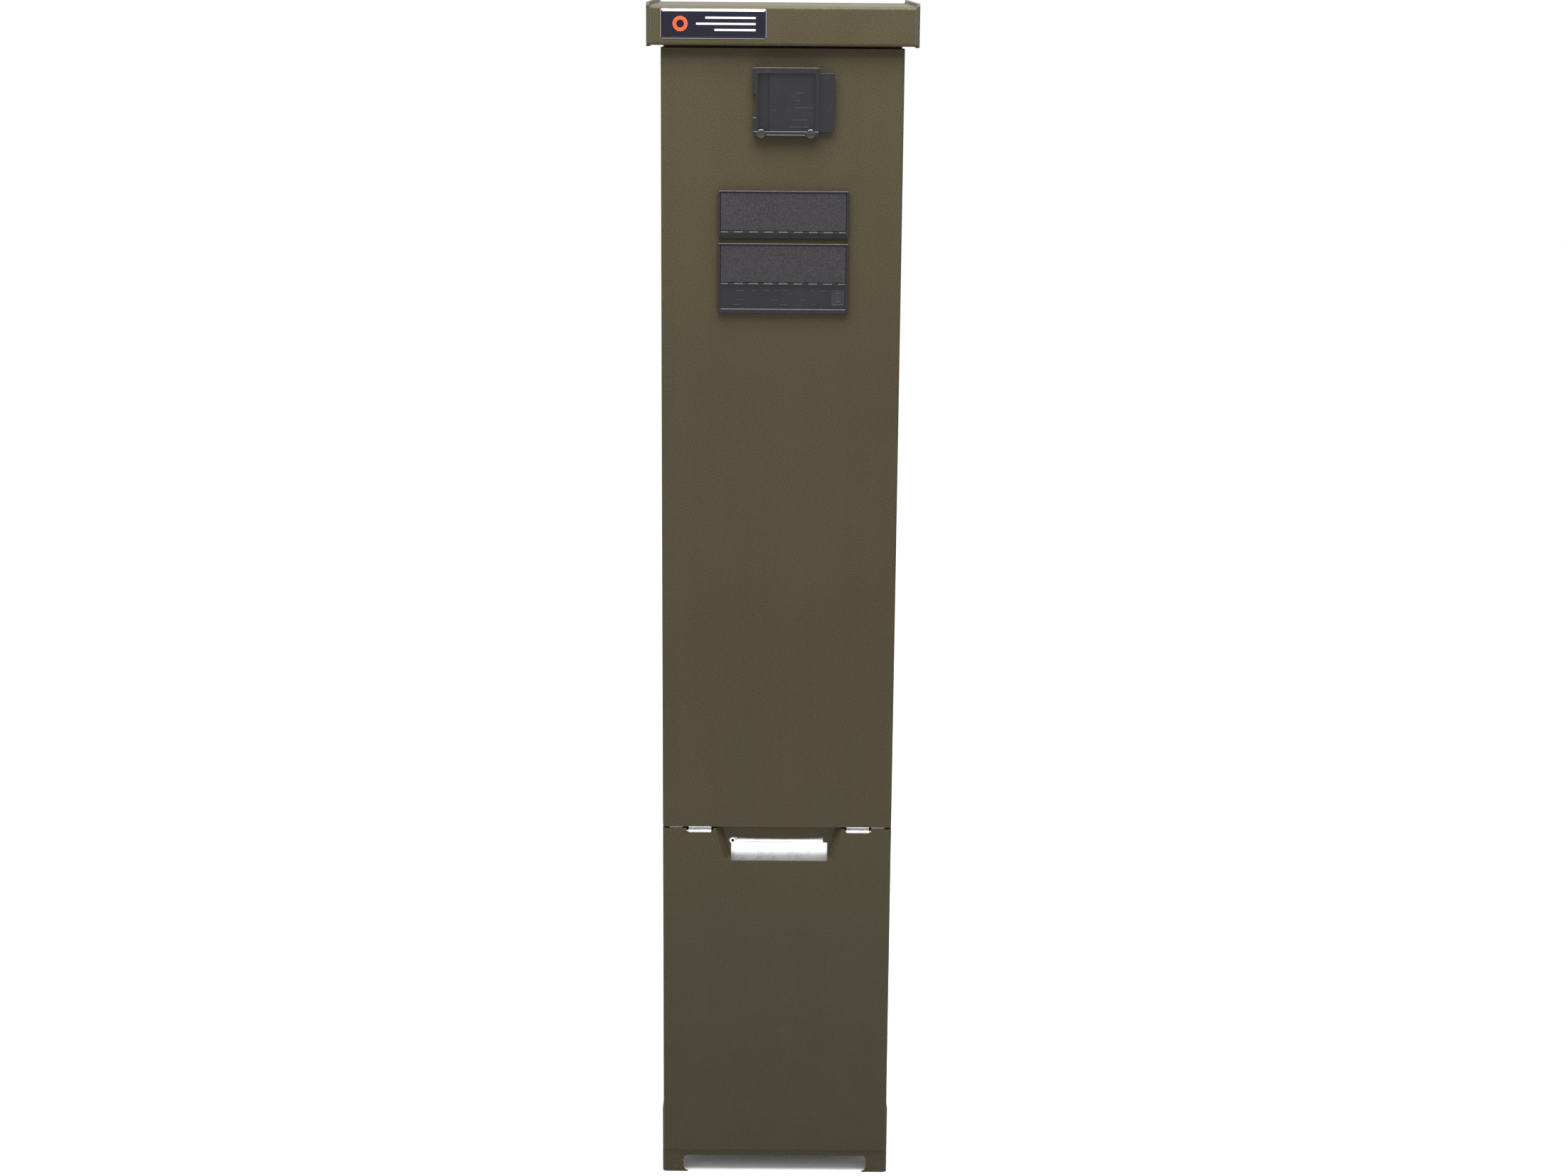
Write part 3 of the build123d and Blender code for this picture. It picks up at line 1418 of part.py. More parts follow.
with BuildPart() as cable_saddles:
    with BuildSketch(Plane.XY.offset(rail_z - saddle_height / 2)):
        with Locations((0, cable_rail_front_y - saddle_depth / 2)):
            with GridLocations(saddle_pitch, 1, 3, 1):
                RectangleRounded(saddle_width, saddle_depth, saddle_setback / 4)
        with Locations((0, cable_rail_front_y - saddle_setback)):
            with GridLocations(saddle_pitch, 1, 3, 1):
                Circle(saddle_bore, mode=Mode.SUBTRACT)
    extrude(amount=saddle_height)
    with BuildSketch(Plane.XZ.offset(-cable_rail_front_y)):
        with Locations(saddle_screw_places):
            Circle(saddle_screw_radius)
    extrude(amount=saddle_depth, mode=Mode.SUBTRACT)
cable_saddles.part.label = "cable_saddles"
export_step(cable_saddles.part, "parts/cable_saddles.step")

with BuildPart() as saddle_screws:
    with BuildSketch(Plane.XZ.offset(-(cable_rail_front_y + rail_wall))):
        with Locations(saddle_screw_places):
            Circle(saddle_screw_radius)
    extrude(amount=rail_wall + saddle_depth)
    with BuildSketch(Plane.XZ.offset(-saddle_front_y)):
        with Locations(saddle_screw_places):
            RegularPolygon(saddle_screw_head, 6, major_radius=False)
    extrude(amount=saddle_screw_height)
saddle_screws.part.label = "saddle_screws"
export_step(saddle_screws.part, "parts/saddle_screws.step")
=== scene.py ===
import bpy
import json
import math
import random
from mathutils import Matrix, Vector


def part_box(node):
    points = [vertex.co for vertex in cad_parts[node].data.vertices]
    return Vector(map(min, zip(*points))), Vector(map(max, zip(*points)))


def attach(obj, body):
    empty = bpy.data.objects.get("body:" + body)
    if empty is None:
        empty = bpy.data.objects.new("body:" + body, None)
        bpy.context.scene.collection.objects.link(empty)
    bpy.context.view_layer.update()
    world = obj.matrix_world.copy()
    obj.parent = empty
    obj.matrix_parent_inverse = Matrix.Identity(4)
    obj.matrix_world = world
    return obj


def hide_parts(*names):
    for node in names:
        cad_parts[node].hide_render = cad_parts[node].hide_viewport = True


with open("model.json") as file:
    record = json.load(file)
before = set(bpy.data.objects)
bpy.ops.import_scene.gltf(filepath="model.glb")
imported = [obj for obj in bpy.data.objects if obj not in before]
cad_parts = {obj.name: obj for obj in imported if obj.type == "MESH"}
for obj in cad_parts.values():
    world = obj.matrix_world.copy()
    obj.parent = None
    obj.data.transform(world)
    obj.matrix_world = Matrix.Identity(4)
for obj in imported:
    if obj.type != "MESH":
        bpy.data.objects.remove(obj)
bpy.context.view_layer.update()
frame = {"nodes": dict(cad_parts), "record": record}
mm = 0.001
random.seed(7)


# picking faces and edges, and starting shapes
def deselect():
    if bpy.context.object and bpy.context.object.mode != "OBJECT":
        bpy.ops.object.mode_set(mode="OBJECT")
    bpy.ops.object.select_all(action="DESELECT")


def activate(piece):
    deselect()
    piece.select_set(True)
    bpy.context.view_layer.objects.active = piece


def pickFaces(piece, test):
    activate(piece)
    mesh = piece.data
    mesh.vertices.foreach_set("select", [False] * len(mesh.vertices))
    mesh.edges.foreach_set("select", [False] * len(mesh.edges))
    mesh.polygons.foreach_set("select", [bool(test(face.center, face.normal)) for face in mesh.polygons])
    bpy.context.tool_settings.mesh_select_mode = (False, False, True)
    bpy.ops.object.mode_set(mode="EDIT")


def pickEdges(piece, test):
    activate(piece)
    mesh = piece.data
    points = mesh.vertices
    mesh.vertices.foreach_set("select", [False] * len(mesh.vertices))
    mesh.polygons.foreach_set("select", [False] * len(mesh.polygons))
    mesh.edges.foreach_set(
        "select",
        [bool(test(points[edge.vertices[0]].co, points[edge.vertices[1]].co)) for edge in mesh.edges],
    )
    bpy.context.tool_settings.mesh_select_mode = (False, True, False)
    bpy.ops.object.mode_set(mode="EDIT")


def pickAll(piece):
    activate(piece)
    bpy.ops.object.mode_set(mode="EDIT")
    bpy.ops.mesh.select_all(action="SELECT")


def block(name, low, high):
    deselect()
    low, high = Vector(low), Vector(high)
    bpy.ops.mesh.primitive_cube_add(size=1, location=(low + high) / 2)
    piece = bpy.context.object
    piece.name = piece.data.name = name
    piece.scale = high - low
    bpy.ops.object.transform_apply(location=True, rotation=True, scale=True)
    return piece


def rod(name, centre, radius, length, axis="Z", sides=48):
    deselect()
    turn = {"X": (0, math.pi / 2, 0), "Y": (math.pi / 2, 0, 0), "Z": (0, 0, 0)}[axis]
    bpy.ops.mesh.primitive_cylinder_add(
        vertices=sides, radius=radius, depth=length, location=centre, rotation=turn
    )
    piece = bpy.context.object
    piece.name = piece.data.name = name
    bpy.ops.object.transform_apply(location=True, rotation=True, scale=True)
    return piece


def roundEdges(piece, width, steps=2, sharpFrom=32, keepClear=True):
    activate(piece)
    bevel = piece.modifiers.new("edges", "BEVEL")
    bevel.width = width
    bevel.segments = steps
    bevel.limit_method = "ANGLE"
    bevel.angle_limit = math.radians(sharpFrom)
    bevel.use_clamp_overlap = keepClear
    bpy.ops.object.modifier_apply(modifier=bevel.name)
    return piece


def evenShading(piece, angle=38):
    activate(piece)
    bpy.ops.object.shade_smooth_by_angle(angle=math.radians(angle))
    weighted = piece.modifiers.new("shading", "WEIGHTED_NORMAL")
    weighted.keep_sharp = True
    bpy.ops.object.modifier_apply(modifier=weighted.name)
    return piece


def copyTo(piece, step):
    activate(piece)
    bpy.ops.object.duplicate()
    twin = bpy.context.object
    twin.location = step
    bpy.ops.object.transform_apply(location=True, rotation=True, scale=True)
    return twin


def joined(pieces, name):
    deselect()
    for piece in pieces:
        piece.select_set(True)
    bpy.context.view_layer.objects.active = pieces[0]
    if len(pieces) > 1:
        bpy.ops.object.join()
    piece = bpy.context.object
    piece.name = piece.data.name = name
    return piece


def place(piece, body, material):
    piece.data.materials.clear()
    piece.data.materials.append(material)
    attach(piece, body)


# shader maths: a Wire is one socket, a Finish is one material
class Wire:
    def __init__(self, finish, socket):
        self.finish = finish
        self.socket = socket

    def sum(self, operation, first, second):
        return self.finish.add("ShaderNodeMath", {"operation": operation}, {0: first, 1: second})

    def __add__(self, other):
        return self.sum("ADD", self, other)

    def __radd__(self, other):
        return self.sum("ADD", other, self)

    def __sub__(self, other):
        return self.sum("SUBTRACT", self, other)

    def __rsub__(self, other):
        return self.sum("SUBTRACT", other, self)

    def __mul__(self, other):
        return self.sum("MULTIPLY", self, other)

    def __rmul__(self, other):
        return self.sum("MULTIPLY", other, self)

    def __pow__(self, other):
        return self.sum("POWER", self, other)

    def __lt__(self, other):
        return self.sum("LESS_THAN", self, other)

    def __gt__(self, other):
        return self.sum("GREATER_THAN", self, other)

    def size(self):
        return self.finish.add("ShaderNodeMath", {"operation": "ABSOLUTE"}, {0: self})

    def clipped(self, low, high):
        settings = {"clamp": True, "interpolation_type": "SMOOTHSTEP"}
        return self.finish.add("ShaderNodeMapRange", settings, {"Value": self, "From Min": low, "From Max": high})


class Finish:
    def __init__(self, name):
        self.material = bpy.data.materials.new(name)
        self.material.use_nodes = True
        self.tree = self.material.node_tree
        self.shader = self.tree.nodes["Principled BSDF"]
        self.place = self.add("ShaderNodeTexCoord", {}, {}, "Object")

    def add(self, kind, settings, inputs, output=0):
        node = self.tree.nodes.new(kind)
        for key, value in settings.items():
            setattr(node, key, value)
        for key, value in inputs.items():
            self.feed(node.inputs[key], value)
        return Wire(self, node.outputs[output])

    def feed(self, socket, value):
        if isinstance(value, Wire):
            self.tree.links.new(value.socket, socket)
        elif isinstance(value, tuple) and len(socket.default_value) == 4:
            socket.default_value = (*value, 1)
        else:
            socket.default_value = value

    def noise(self, scale, detail=2.0, rough=0.5, at=None):
        inputs = {"Vector": at or self.place, "Scale": scale, "Detail": detail, "Roughness": rough}
        return self.add("ShaderNodeTexNoise", {}, inputs)

    def cells(self, scale, output="Distance", jitter=1.0):
        inputs = {"Vector": self.place, "Scale": scale, "Randomness": jitter}
        return self.add("ShaderNodeTexVoronoi", {"feature": "F1"}, inputs, output)

    def stretched(self, x, y, z):
        return self.add("ShaderNodeVectorMath", {"operation": "MULTIPLY"}, {0: self.place, 1: (x, y, z)})

    def along(self, axis):
        return self.add("ShaderNodeSeparateXYZ", {}, {"Vector": self.place}, axis)

    def blend(self, factor, first, second):
        return self.add("ShaderNodeMix", {"data_type": "RGBA"}, {0: factor, 6: first, 7: second}, 2)

    def set(self, **values):
        for key, value in values.items():
            self.feed(self.shader.inputs[key.replace("_", " ")], value)
        return self

    def relief(self, height, distance, strength=1.0):
        inputs = {"Height": height, "Distance": distance, "Strength": strength}
        self.set(Normal=self.add("ShaderNodeBump", {}, inputs))
        return self


# the finishes
def bodyPaint():
    look = {
        "light": (0.0405, 0.033, 0.0172), "dark": (0.0275, 0.022, 0.0106), "fleck": (0.058, 0.048, 0.029),
        "pit": (0.021, 0.0168, 0.0082), "shadeAndGrime": (0.0155, 0.0122, 0.0060), "shadeAndGrimeTop": 0.42, "gloss": 0.12,
    }
    paint = Finish("bodyPaint")
    mottle = paint.noise(5.5, 3)
    streak = paint.noise(1.0, 2, at=paint.stretched(38, 38, 1.6))
    fleck = paint.noise(1500, 1)
    splash = paint.noise(42, 4, 0.6)
    height = paint.along("Z")
    tone = (mottle * 0.7 + streak * 0.3).clipped(0.34, 0.66)
    colour = paint.blend(tone * 0.4 + 0.3, look["dark"], look["light"])
    colour = paint.blend((fleck > 0.57) * 0.7, colour, look["fleck"])
    colour = paint.blend((fleck < 0.43) * 0.7, colour, look["pit"])
    # darker towards the bottom: painted shade where less light reaches low down, broken up by splash-dirt noise
    shadeAndGrime = (1 - height.clipped(0.0, look["shadeAndGrimeTop"])) * (splash * 0.5 + 0.5)
    colour = paint.blend(shadeAndGrime * 0.6, colour, look["shadeAndGrime"])
    paint.set(Base_Color=colour, Roughness=0.40 + tone * 0.08 + shadeAndGrime * 0.1, Specular_IOR_Level=look["gloss"])
    grain = paint.noise(620, 2, 0.55)
    return paint.relief(grain + fleck * 0.25, 0.00010, 0.35).material


def galvanised():
    look = {"spangle": 110, "dull": (0.4884, 0.5032, 0.518), "shine": (0.74, 0.7474, 0.7474)}
    zinc = Finish("galvanised")
    crystal = zinc.cells(look["spangle"], output="Color", jitter=0.95)
    level = zinc.add("ShaderNodeSeparateColor", {}, {"Color": crystal}, "Red")
    cloud = zinc.noise(26, 3)
    colour = zinc.blend(level * 0.75 + cloud * 0.25, look["dull"], look["shine"])
    zinc.set(Base_Color=colour, Metallic=1.0, Roughness=0.26 + level * 0.16 + cloud * 0.08)
    scratch = zinc.noise(900, 2, at=zinc.stretched(1, 1, 0.08))
    return zinc.relief(level * 0.6 + scratch * 0.4, 0.00005, 0.25).material


# a whiter, less metallic copy of the galvanised finish: painted light for the galvanised parts that show brightest,
# with spangle patches
def litZinc():
    look = {"spangle": 420, "bright": (0.88, 0.88, 0.89), "dull": (0.60, 0.61, 0.64), "metal": 0.55}
    zinc = Finish("litZinc")
    crystal = zinc.cells(look["spangle"], output="Color", jitter=0.95)
    level = zinc.add("ShaderNodeSeparateColor", {}, {"Color": crystal}, "Red")
    patch = zinc.noise(60, 2).clipped(0.48, 0.62)
    colour = zinc.blend(level * patch * 0.7, look["bright"], look["dull"])
    zinc.set(Base_Color=colour, Metallic=look["metal"], Roughness=0.34 + level * 0.12)
    return zinc.relief(level, 0.00003, 0.3).material


def zincPlated():
    look = {"blue": (0.62, 0.63, 0.66), "yellow": (0.72, 0.71, 0.66)}
    plated = Finish("zincPlated")
    cloud = plated.noise(140, 3)
    colour = plated.blend(cloud, look["blue"], look["yellow"])
    plated.set(Base_Color=colour, Metallic=1.0, Roughness=0.22 + cloud * 0.14)
    return plated.relief(plated.noise(1800, 2), 0.00002, 0.3).material


def lockMetal():
    look = {"dull": (0.60, 0.58, 0.53), "bright": (0.74, 0.72, 0.68), "ringPitch": 5200}
    low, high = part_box("lock_housing")
    nickel = Finish("lockMetal")
    across = nickel.along("X") - (low.x + high.x) / 2
    upward = nickel.along("Z") - (low.z + high.z) / 2
    radius = (across * across + upward * upward) ** 0.5
    turned = nickel.add("ShaderNodeCombineXYZ", {}, {"X": radius * look["ringPitch"]})
    rings = nickel.noise(1.0, 2, at=turned)
    wear = nickel.noise(210, 3)
    colour = nickel.blend(wear, look["dull"], look["bright"])
    nickel.set(Base_Color=colour, Metallic=1.0, Roughness=0.20 + rings * 0.18)
    return nickel.relief(rings, 0.00002, 0.4).material


def blackPlastic():
    look = {"dark": (0.0055, 0.0050, 0.0062), "chalk": (0.012, 0.0112, 0.0128), "speck": (0.030, 0.028, 0.031)}
    plastic = Finish("blackPlastic")
    scuff = plastic.noise(34, 4, 0.62)
    grain = plastic.noise(1700, 2)
    chalk = scuff.clipped(0.50, 0.78)
    speck = plastic.noise(2100, 1)
    colour = plastic.blend(chalk * 0.3, look["dark"], look["chalk"])
    colour = plastic.blend((speck > 0.58) * 0.25, colour, look["speck"])
    plastic.set(Base_Color=colour, Roughness=0.23 + chalk * 0.08, Specular_IOR_Level=0.36)
    return plastic.relief(grain, 0.00005, 0.3).material


def rubbedPlastic():
    look = {"dark": (0.0065, 0.0060, 0.0072), "worn": (0.017, 0.016, 0.018)}
    rubbed = Finish("rubbedPlastic")
    wear = rubbed.noise(260, 3)
    colour = rubbed.blend(wear, look["dark"], look["worn"])
    rubbed.set(Base_Color=colour, Roughness=0.12 + wear * 0.10, Specular_IOR_Level=0.55)
    return rubbed.relief(wear, 0.00002, 0.2).material


def labelPanel():
    look = {"dark": (0.0090, 0.0080, 0.0094), "light": (0.026, 0.024, 0.0262)}
    panel = Finish("labelPanel")
    haze = panel.noise(22, 4, 0.6)
    grain = panel.noise(1300, 1)
    colour = panel.blend(haze * 0.2 + grain.clipped(0.38, 0.66) * 0.8, look["dark"], look["light"])
    panel.set(Base_Color=colour, Roughness=0.38 + haze * 0.08, Specular_IOR_Level=0.25)
    return panel.relief(grain, 0.00004, 0.25).material


def foam():
    look = {"dark": (0.022, 0.022, 0.024), "light": (0.045, 0.044, 0.046), "bubbles": 950}
    sponge = Finish("foam")
    bubble = sponge.cells(look["bubbles"])
    colour = sponge.blend(sponge.noise(60, 3), look["dark"], look["light"])
    sponge.set(Base_Color=colour, Roughness=0.78 + bubble * 0.15)
    return sponge.relief(bubble, 0.0003, 0.6).material


def badgeResin():
    look = {
        "ink": (0.0040, 0.0036, 0.0075), "inkCloud": (0.0075, 0.0068, 0.0135), "pale": (0.36, 0.36, 0.38),
        "warm": (0.30, 0.055, 0.024), "bars": (44, 52, 36), "barPitch": 5.2, "barHalf": 0.9, "barMargin": 9,
        "ringCentre": 17, "ringOuter": 6.6, "ringInner": 3.4, "bevelFrom": 2.2, "bevelTo": 1.6,
    }
    low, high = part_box("badge_dome")
    resin = Finish("badgeResin")
    across = resin.along("X")
    upward = resin.along("Z") - (low.z + high.z) / 2
    barRight = high.x - look["barMargin"] * mm
    tint = resin.noise(55, 3)
    colour = resin.blend(tint, look["ink"], look["inkCloud"])
    top = (high.z - low.z) / 2
    bevel = upward.clipped(top - look["bevelFrom"] * mm, top - look["bevelTo"] * mm)
    for number, length in enumerate(look["bars"]):
        barHeight = look["barPitch"] * (1 - number) * mm
        inBar = ((upward - barHeight).size() < look["barHalf"] * mm) * (across < barRight)
        colour = resin.blend(inBar * (across > barRight - length * mm), colour, look["pale"])
    fromRing = across - (low.x + look["ringCentre"] * mm)
    ring = (fromRing * fromRing + upward * upward) ** 0.5
    colour = resin.blend(ring < look["ringOuter"] * mm, colour, look["warm"])
    colour = resin.blend(ring < look["ringInner"] * mm, colour, look["ink"])
    resin.set(Base_Color=colour, Roughness=0.12 + tint * 0.06, Specular_IOR_Level=0.18)
    resin.set(Coat_Weight=bevel, Coat_IOR=2.0, Coat_Roughness=0.06)
    return resin.relief(resin.noise(90, 2), 0.00001, 0.2).material


def badgeBacking():
    look = {"dull": (0.42, 0.42, 0.43), "bright": (0.62, 0.62, 0.62)}
    sheet = Finish("badgeBacking")
    brushed = sheet.noise(1, 3, at=sheet.stretched(60, 60, 4200))
    colour = sheet.blend(brushed, look["dull"], look["bright"])
    return sheet.set(Base_Color=colour, Metallic=1.0, Roughness=0.3 + brushed * 0.2).material


def copper():
    look = {"drawn": (0.70, 0.36, 0.22), "bright": (0.80, 0.46, 0.31), "stain": (0.44, 0.23, 0.14)}
    bar = Finish("copper")
    stain = bar.noise(30, 4, 0.6)
    drawn = bar.noise(1, 2, at=bar.stretched(1900, 1900, 14))
    bright = bar.blend(drawn, look["drawn"], look["bright"])
    colour = bar.blend(stain.clipped(0.45, 0.75), bright, look["stain"])
    bar.set(Base_Color=colour, Metallic=1.0, Roughness=0.26 + stain * 0.18)
    return bar.relief(drawn, 0.00003, 0.3).material


def tinnedMetal():
    look = {"dull": (0.56, 0.57, 0.58), "bright": (0.76, 0.76, 0.75)}
    tin = Finish("tinnedMetal")
    cloud = tin.noise(95, 4)
    colour = tin.blend(cloud, look["dull"], look["bright"])
    tin.set(Base_Color=colour, Metallic=1.0, Roughness=0.30 + cloud * 0.18)
    return tin.relief(tin.noise(1200, 2), 0.00004, 0.35).material


def switchGrey():
    look = {"dark": (0.125, 0.130, 0.136), "light": (0.165, 0.170, 0.175)}
    moulded = Finish("switchGrey")
    cloud = moulded.noise(28, 3)
    grain = moulded.noise(1500, 2)
    colour = moulded.blend(cloud, look["dark"], look["light"])
    moulded.set(Base_Color=colour, Roughness=0.44 + cloud * 0.12)
    return moulded.relief(grain, 0.00006, 0.3).material


def fuseCeramic():
    look = {"cream": (0.72, 0.69, 0.60), "white": (0.83, 0.81, 0.74), "speck": (0.50, 0.45, 0.36)}
    glaze = Finish("fuseCeramic")
    speck = glaze.noise(700, 2)
    cloud = glaze.noise(45, 3)
    colour = glaze.blend(cloud, look["cream"], look["white"])
    colour = glaze.blend((speck > 0.72) * 0.4, colour, look["speck"])
    glaze.set(Base_Color=colour, Roughness=0.16 + cloud * 0.12, Coat_Weight=0.3)
    return glaze.relief(cloud, 0.00008, 0.3).material


def clearPlastic():
    look = {"clear": (0.76, 0.82, 0.85), "milky": (0.86, 0.90, 0.92), "thinnest": 0.16}
    pane = Finish("clearPlastic")
    haze = pane.noise(70, 4)
    edge = pane.add("ShaderNodeLayerWeight", {}, {"Blend": 0.35}, "Facing")
    pane.set(Base_Color=pane.blend(haze, look["clear"], look["milky"]))
    pane.set(Roughness=0.07 + haze * 0.08, Alpha=look["thinnest"] + haze * 0.06 + edge * 0.35)
    return pane.relief(haze, 0.00004, 0.2).material


def paleFloor():
    look = {"pale": (0.94, 0.94, 0.94), "paler": (0.96, 0.96, 0.955)}
    floor = Finish("paleFloor")
    colour = floor.blend(floor.noise(3, 5), look["pale"], look["paler"])
    return floor.set(Base_Color=colour, Roughness=0.75).material


finishes = {
    "body_paint": bodyPaint(),
    "galvanised": galvanised(),
    "lit_zinc": litZinc(),
    "zinc_steel": zincPlated(),
    "lock_metal": lockMetal(),
    "black_plastic": blackPlastic(),
    "rubbed_plastic": rubbedPlastic(),
    "label_strip": labelPanel(),
    "foam": foam(),
    "badge_blue": badgeResin(),
    "badge_backing": badgeBacking(),
    "copper": copper(),
    "terminal_metal": tinnedMetal(),
    "switch_grey": switchGrey(),
    "fuse_ceramic": fuseCeramic(),
    "clear_plastic": clearPlastic(),
}
slotOf = {part["node"]: part["material_slot"] for part in frame["record"]["subparts"]}
bodyOf = {node: body for body, nodes in frame["record"]["behaviour"]["bodies"].items() for node in nodes}
for node, cadPart in frame["nodes"].items():
    cadPart.data.materials.clear()
    cadPart.data.materials.append(finishes[slotOf[node]])
print("finishes:", len(finishes))


# edge radii of the folded, moulded and machined parts, in mm
edgeRadii = {
    "base_frame": 0.5, "cabinet_shell": 0.3, "roof_panel": 0.35, "roof_cheek_left": 0.3,
    "roof_cheek_right": 0.3, "roof_seal": 0.4, "top_cross_member_front": 0.1, "top_cross_member_rear": 0.1,
    "roof_studs": 0.3, "roof_nuts": 0.2, "badge_plate": 0.1, "lock_keeper": 0.3, "mid_cross_member": 0.25,
    "hinge_brackets": 0.12, "hinge_pins": 0.4, "hinge_tongues": 0.15, "door_panel": 0.075,
    "door_tongue_sockets": 0.3, "door_gasket": 0.23, "lock_housing": 0.4, "lock_nut": 0.3, "lock_plug": 0.2,
    "lock_cam": 0.4, "cam_screw": 0.4, "label_frame_upper": 0.1, "label_frame_lower": 0.1, "label_rivets": 0.3,
    "lower_cover": 0.075, "catch_plate": 0.1, "mounting_plate": 0.15, "mounting_spacers": 0.4,
    "mounting_studs": 0.3, "switch_pivots": 0.3, "switch_jaws": 0.3, "fuse_blades": 0.5, "phase_bar_1": 0.25,
    "phase_bar_2": 0.12, "phase_bar_3": 0.25, "pen_bar": 0.12, "phase_terminals": 0.15, "pen_terminals": 0.6,
    "terminal_screws": 0.15, "bar_shroud": 0.4, "cable_rail": 0.15, "lock_cover_frame": 0.12,
    "lock_cover_slide": 0.35, "label_inserts": 0.3, "catch_eyelet": 0.15,
    "lower_cover_pegs": 0.3, "switch_base": 0.25, "switch_carrier": 0.5, "switch_window": 0.2,
    "bar_supports": 0.3, "bar_screws": 0.2, "cable_saddles": 0.4, "saddle_screws": 0.2,
}
crowded = {"base_frame", "switch_carrier", "pen_terminals"}  # their short edges leave room for less
# these galvanised parts get the whiter copy of the finish, as painted light
litZincParts = {"catch_plate": "lit_zinc", "hinge_tongues": "lit_zinc", "hinge_brackets": "lit_zinc"}


rounding = {"steps": 2, "sharpFrom": 32, "flatWithin": 0.4, "mergeWithin": 0.002}


def nodeCopy(node, name):  # a merged copy of a frame node, left in edit mode with all of it selected
    activate(frame["nodes"][node])
    bpy.ops.object.duplicate()
    piece = bpy.context.object
    for key in list(piece.keys()):
        del piece[key]
    piece.parent = None
    piece.name = piece.data.name = name
    pickAll(piece)
    bpy.ops.mesh.remove_doubles(threshold=rounding["mergeWithin"] * mm)
    return piece


def finished(node, radius):
    piece = nodeCopy(node, node + "_finished")
    bpy.ops.mesh.dissolve_limited(angle_limit=math.radians(rounding["flatWithin"]), delimit={"NORMAL"})
    bpy.ops.object.mode_set(mode="OBJECT")
    roundEdges(piece, radius * mm, rounding["steps"], rounding["sharpFrom"], node in crowded)
    evenShading(piece)
    place(piece, bodyOf[node], finishes[litZincParts.get(node, slotOf[node])])
    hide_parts(node)


# pieces with finer shapes than the frame gives them
def stepForward(steps, size, middle):  # each step brings the picked face forward and draws it in all round
    for inward, rise in steps:
        smaller = Vector((1 - 2 * inward * mm / size.x, 1, 1 - 2 * inward * mm / size.z))
        bpy.ops.mesh.extrude_region_move(TRANSFORM_OT_translate={"value": (0, -rise * mm, 0)})
        bpy.ops.transform.resize(value=smaller, center_override=middle)
        size = size * smaller


def badgeCast():
    dome = {"corner": 1.4, "cornerSteps": 6, "steps": ((0.15, 0.08), (1.7, 0.76), (0.5, 0.04)), "creaseFrom": 12}
    low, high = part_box("badge_dome")
    foot = sum(rise for inward, rise in dome["steps"]) * mm
    piece = block("badge_cast", (low.x, low.y + foot, low.z), high)
    pickEdges(piece, lambda one, other: abs(one.y - other.y) > 0.05 * mm)
    bpy.ops.mesh.bevel(offset=dome["corner"] * mm, segments=dome["cornerSteps"], affect="EDGES")
    pickFaces(piece, lambda centre, normal: normal.y < -0.9)
    stepForward(dome["steps"], high - low, (low + high) / 2)
    bpy.ops.object.mode_set(mode="OBJECT")
    evenShading(piece, dome["creaseFrom"])
    place(piece, "cabinet", finishes["badge_blue"])
    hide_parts("badge_dome")


def roofSeams():
    seam = {"width": 1.1, "proud": 0.3}
    low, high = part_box("roof_panel")
    middle, size = (low + high) / 2, high - low
    grow = (1, 1 + 2 * seam["proud"] * mm / size.y, 1 + 2 * seam["proud"] * mm / size.z)
    strips = []
    for side, edge in ((-1, low.x), (1, high.x)):
        strip = nodeCopy("roof_panel", "seam")
        cut = (edge - side * seam["width"] * mm, 0, 0)
        bpy.ops.mesh.bisect(plane_co=cut, plane_no=(side, 0, 0), use_fill=True, clear_inner=True)
        bpy.ops.mesh.select_all(action="SELECT")
        bpy.ops.transform.resize(value=grow, center_override=middle)
        bpy.ops.object.mode_set(mode="OBJECT")
        strips.append(strip)
    piece = evenShading(joined(strips, "roof_seam_sealant"))
    place(piece, "cabinet", finishes["foam"])


def slideRidges():
    ridge = {
        "height": 0.7, "proud": 0.24, "sunk": 0.3, "radius": 0.2,
        "spans": (  # left, right and rise from the plate's lower left corner
            (17.8, 36.0, 3.7), (20.1, 34.0, 9.8), (22.3, 39.3, 20.4), (23.5, 27.4, 26.7), (2.7, 5.9, 18.1),
            (51.6, 54.2, 18.1), (23.5, 30.0, 33.5),
        ),
    }
    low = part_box("lock_cover_slide")[0]
    bars = []
    for left, right, rise in ridge["spans"]:
        bar = block(
            "ridge",
            (low.x + left * mm, low.y - ridge["proud"] * mm, low.z + rise * mm),
            (low.x + right * mm, low.y + ridge["sunk"] * mm, low.z + (rise + ridge["height"]) * mm),
        )
        bars.append(roundEdges(bar, ridge["radius"] * mm))
    piece = evenShading(joined(bars, "slide_ridges"))
    place(piece, "weather_plate", finishes["rubbed_plastic"])


def moulding(name, front, bead, lines):  # rounded beads along the given lines, standing proud of a front
    beads = []
    for left, right, middle in lines:
        bar = block(
            "bead",
            (left, front - bead["proud"] * mm, middle - bead["height"] / 2 * mm),
            (right, front + bead["sunk"] * mm, middle + bead["height"] / 2 * mm),
        )
        beads.append(roundEdges(bar, bead["radius"] * mm, bead["steps"]))
    piece = evenShading(joined(beads, name), bead["creaseFrom"])
    place(piece, "door", finishes["rubbed_plastic"])


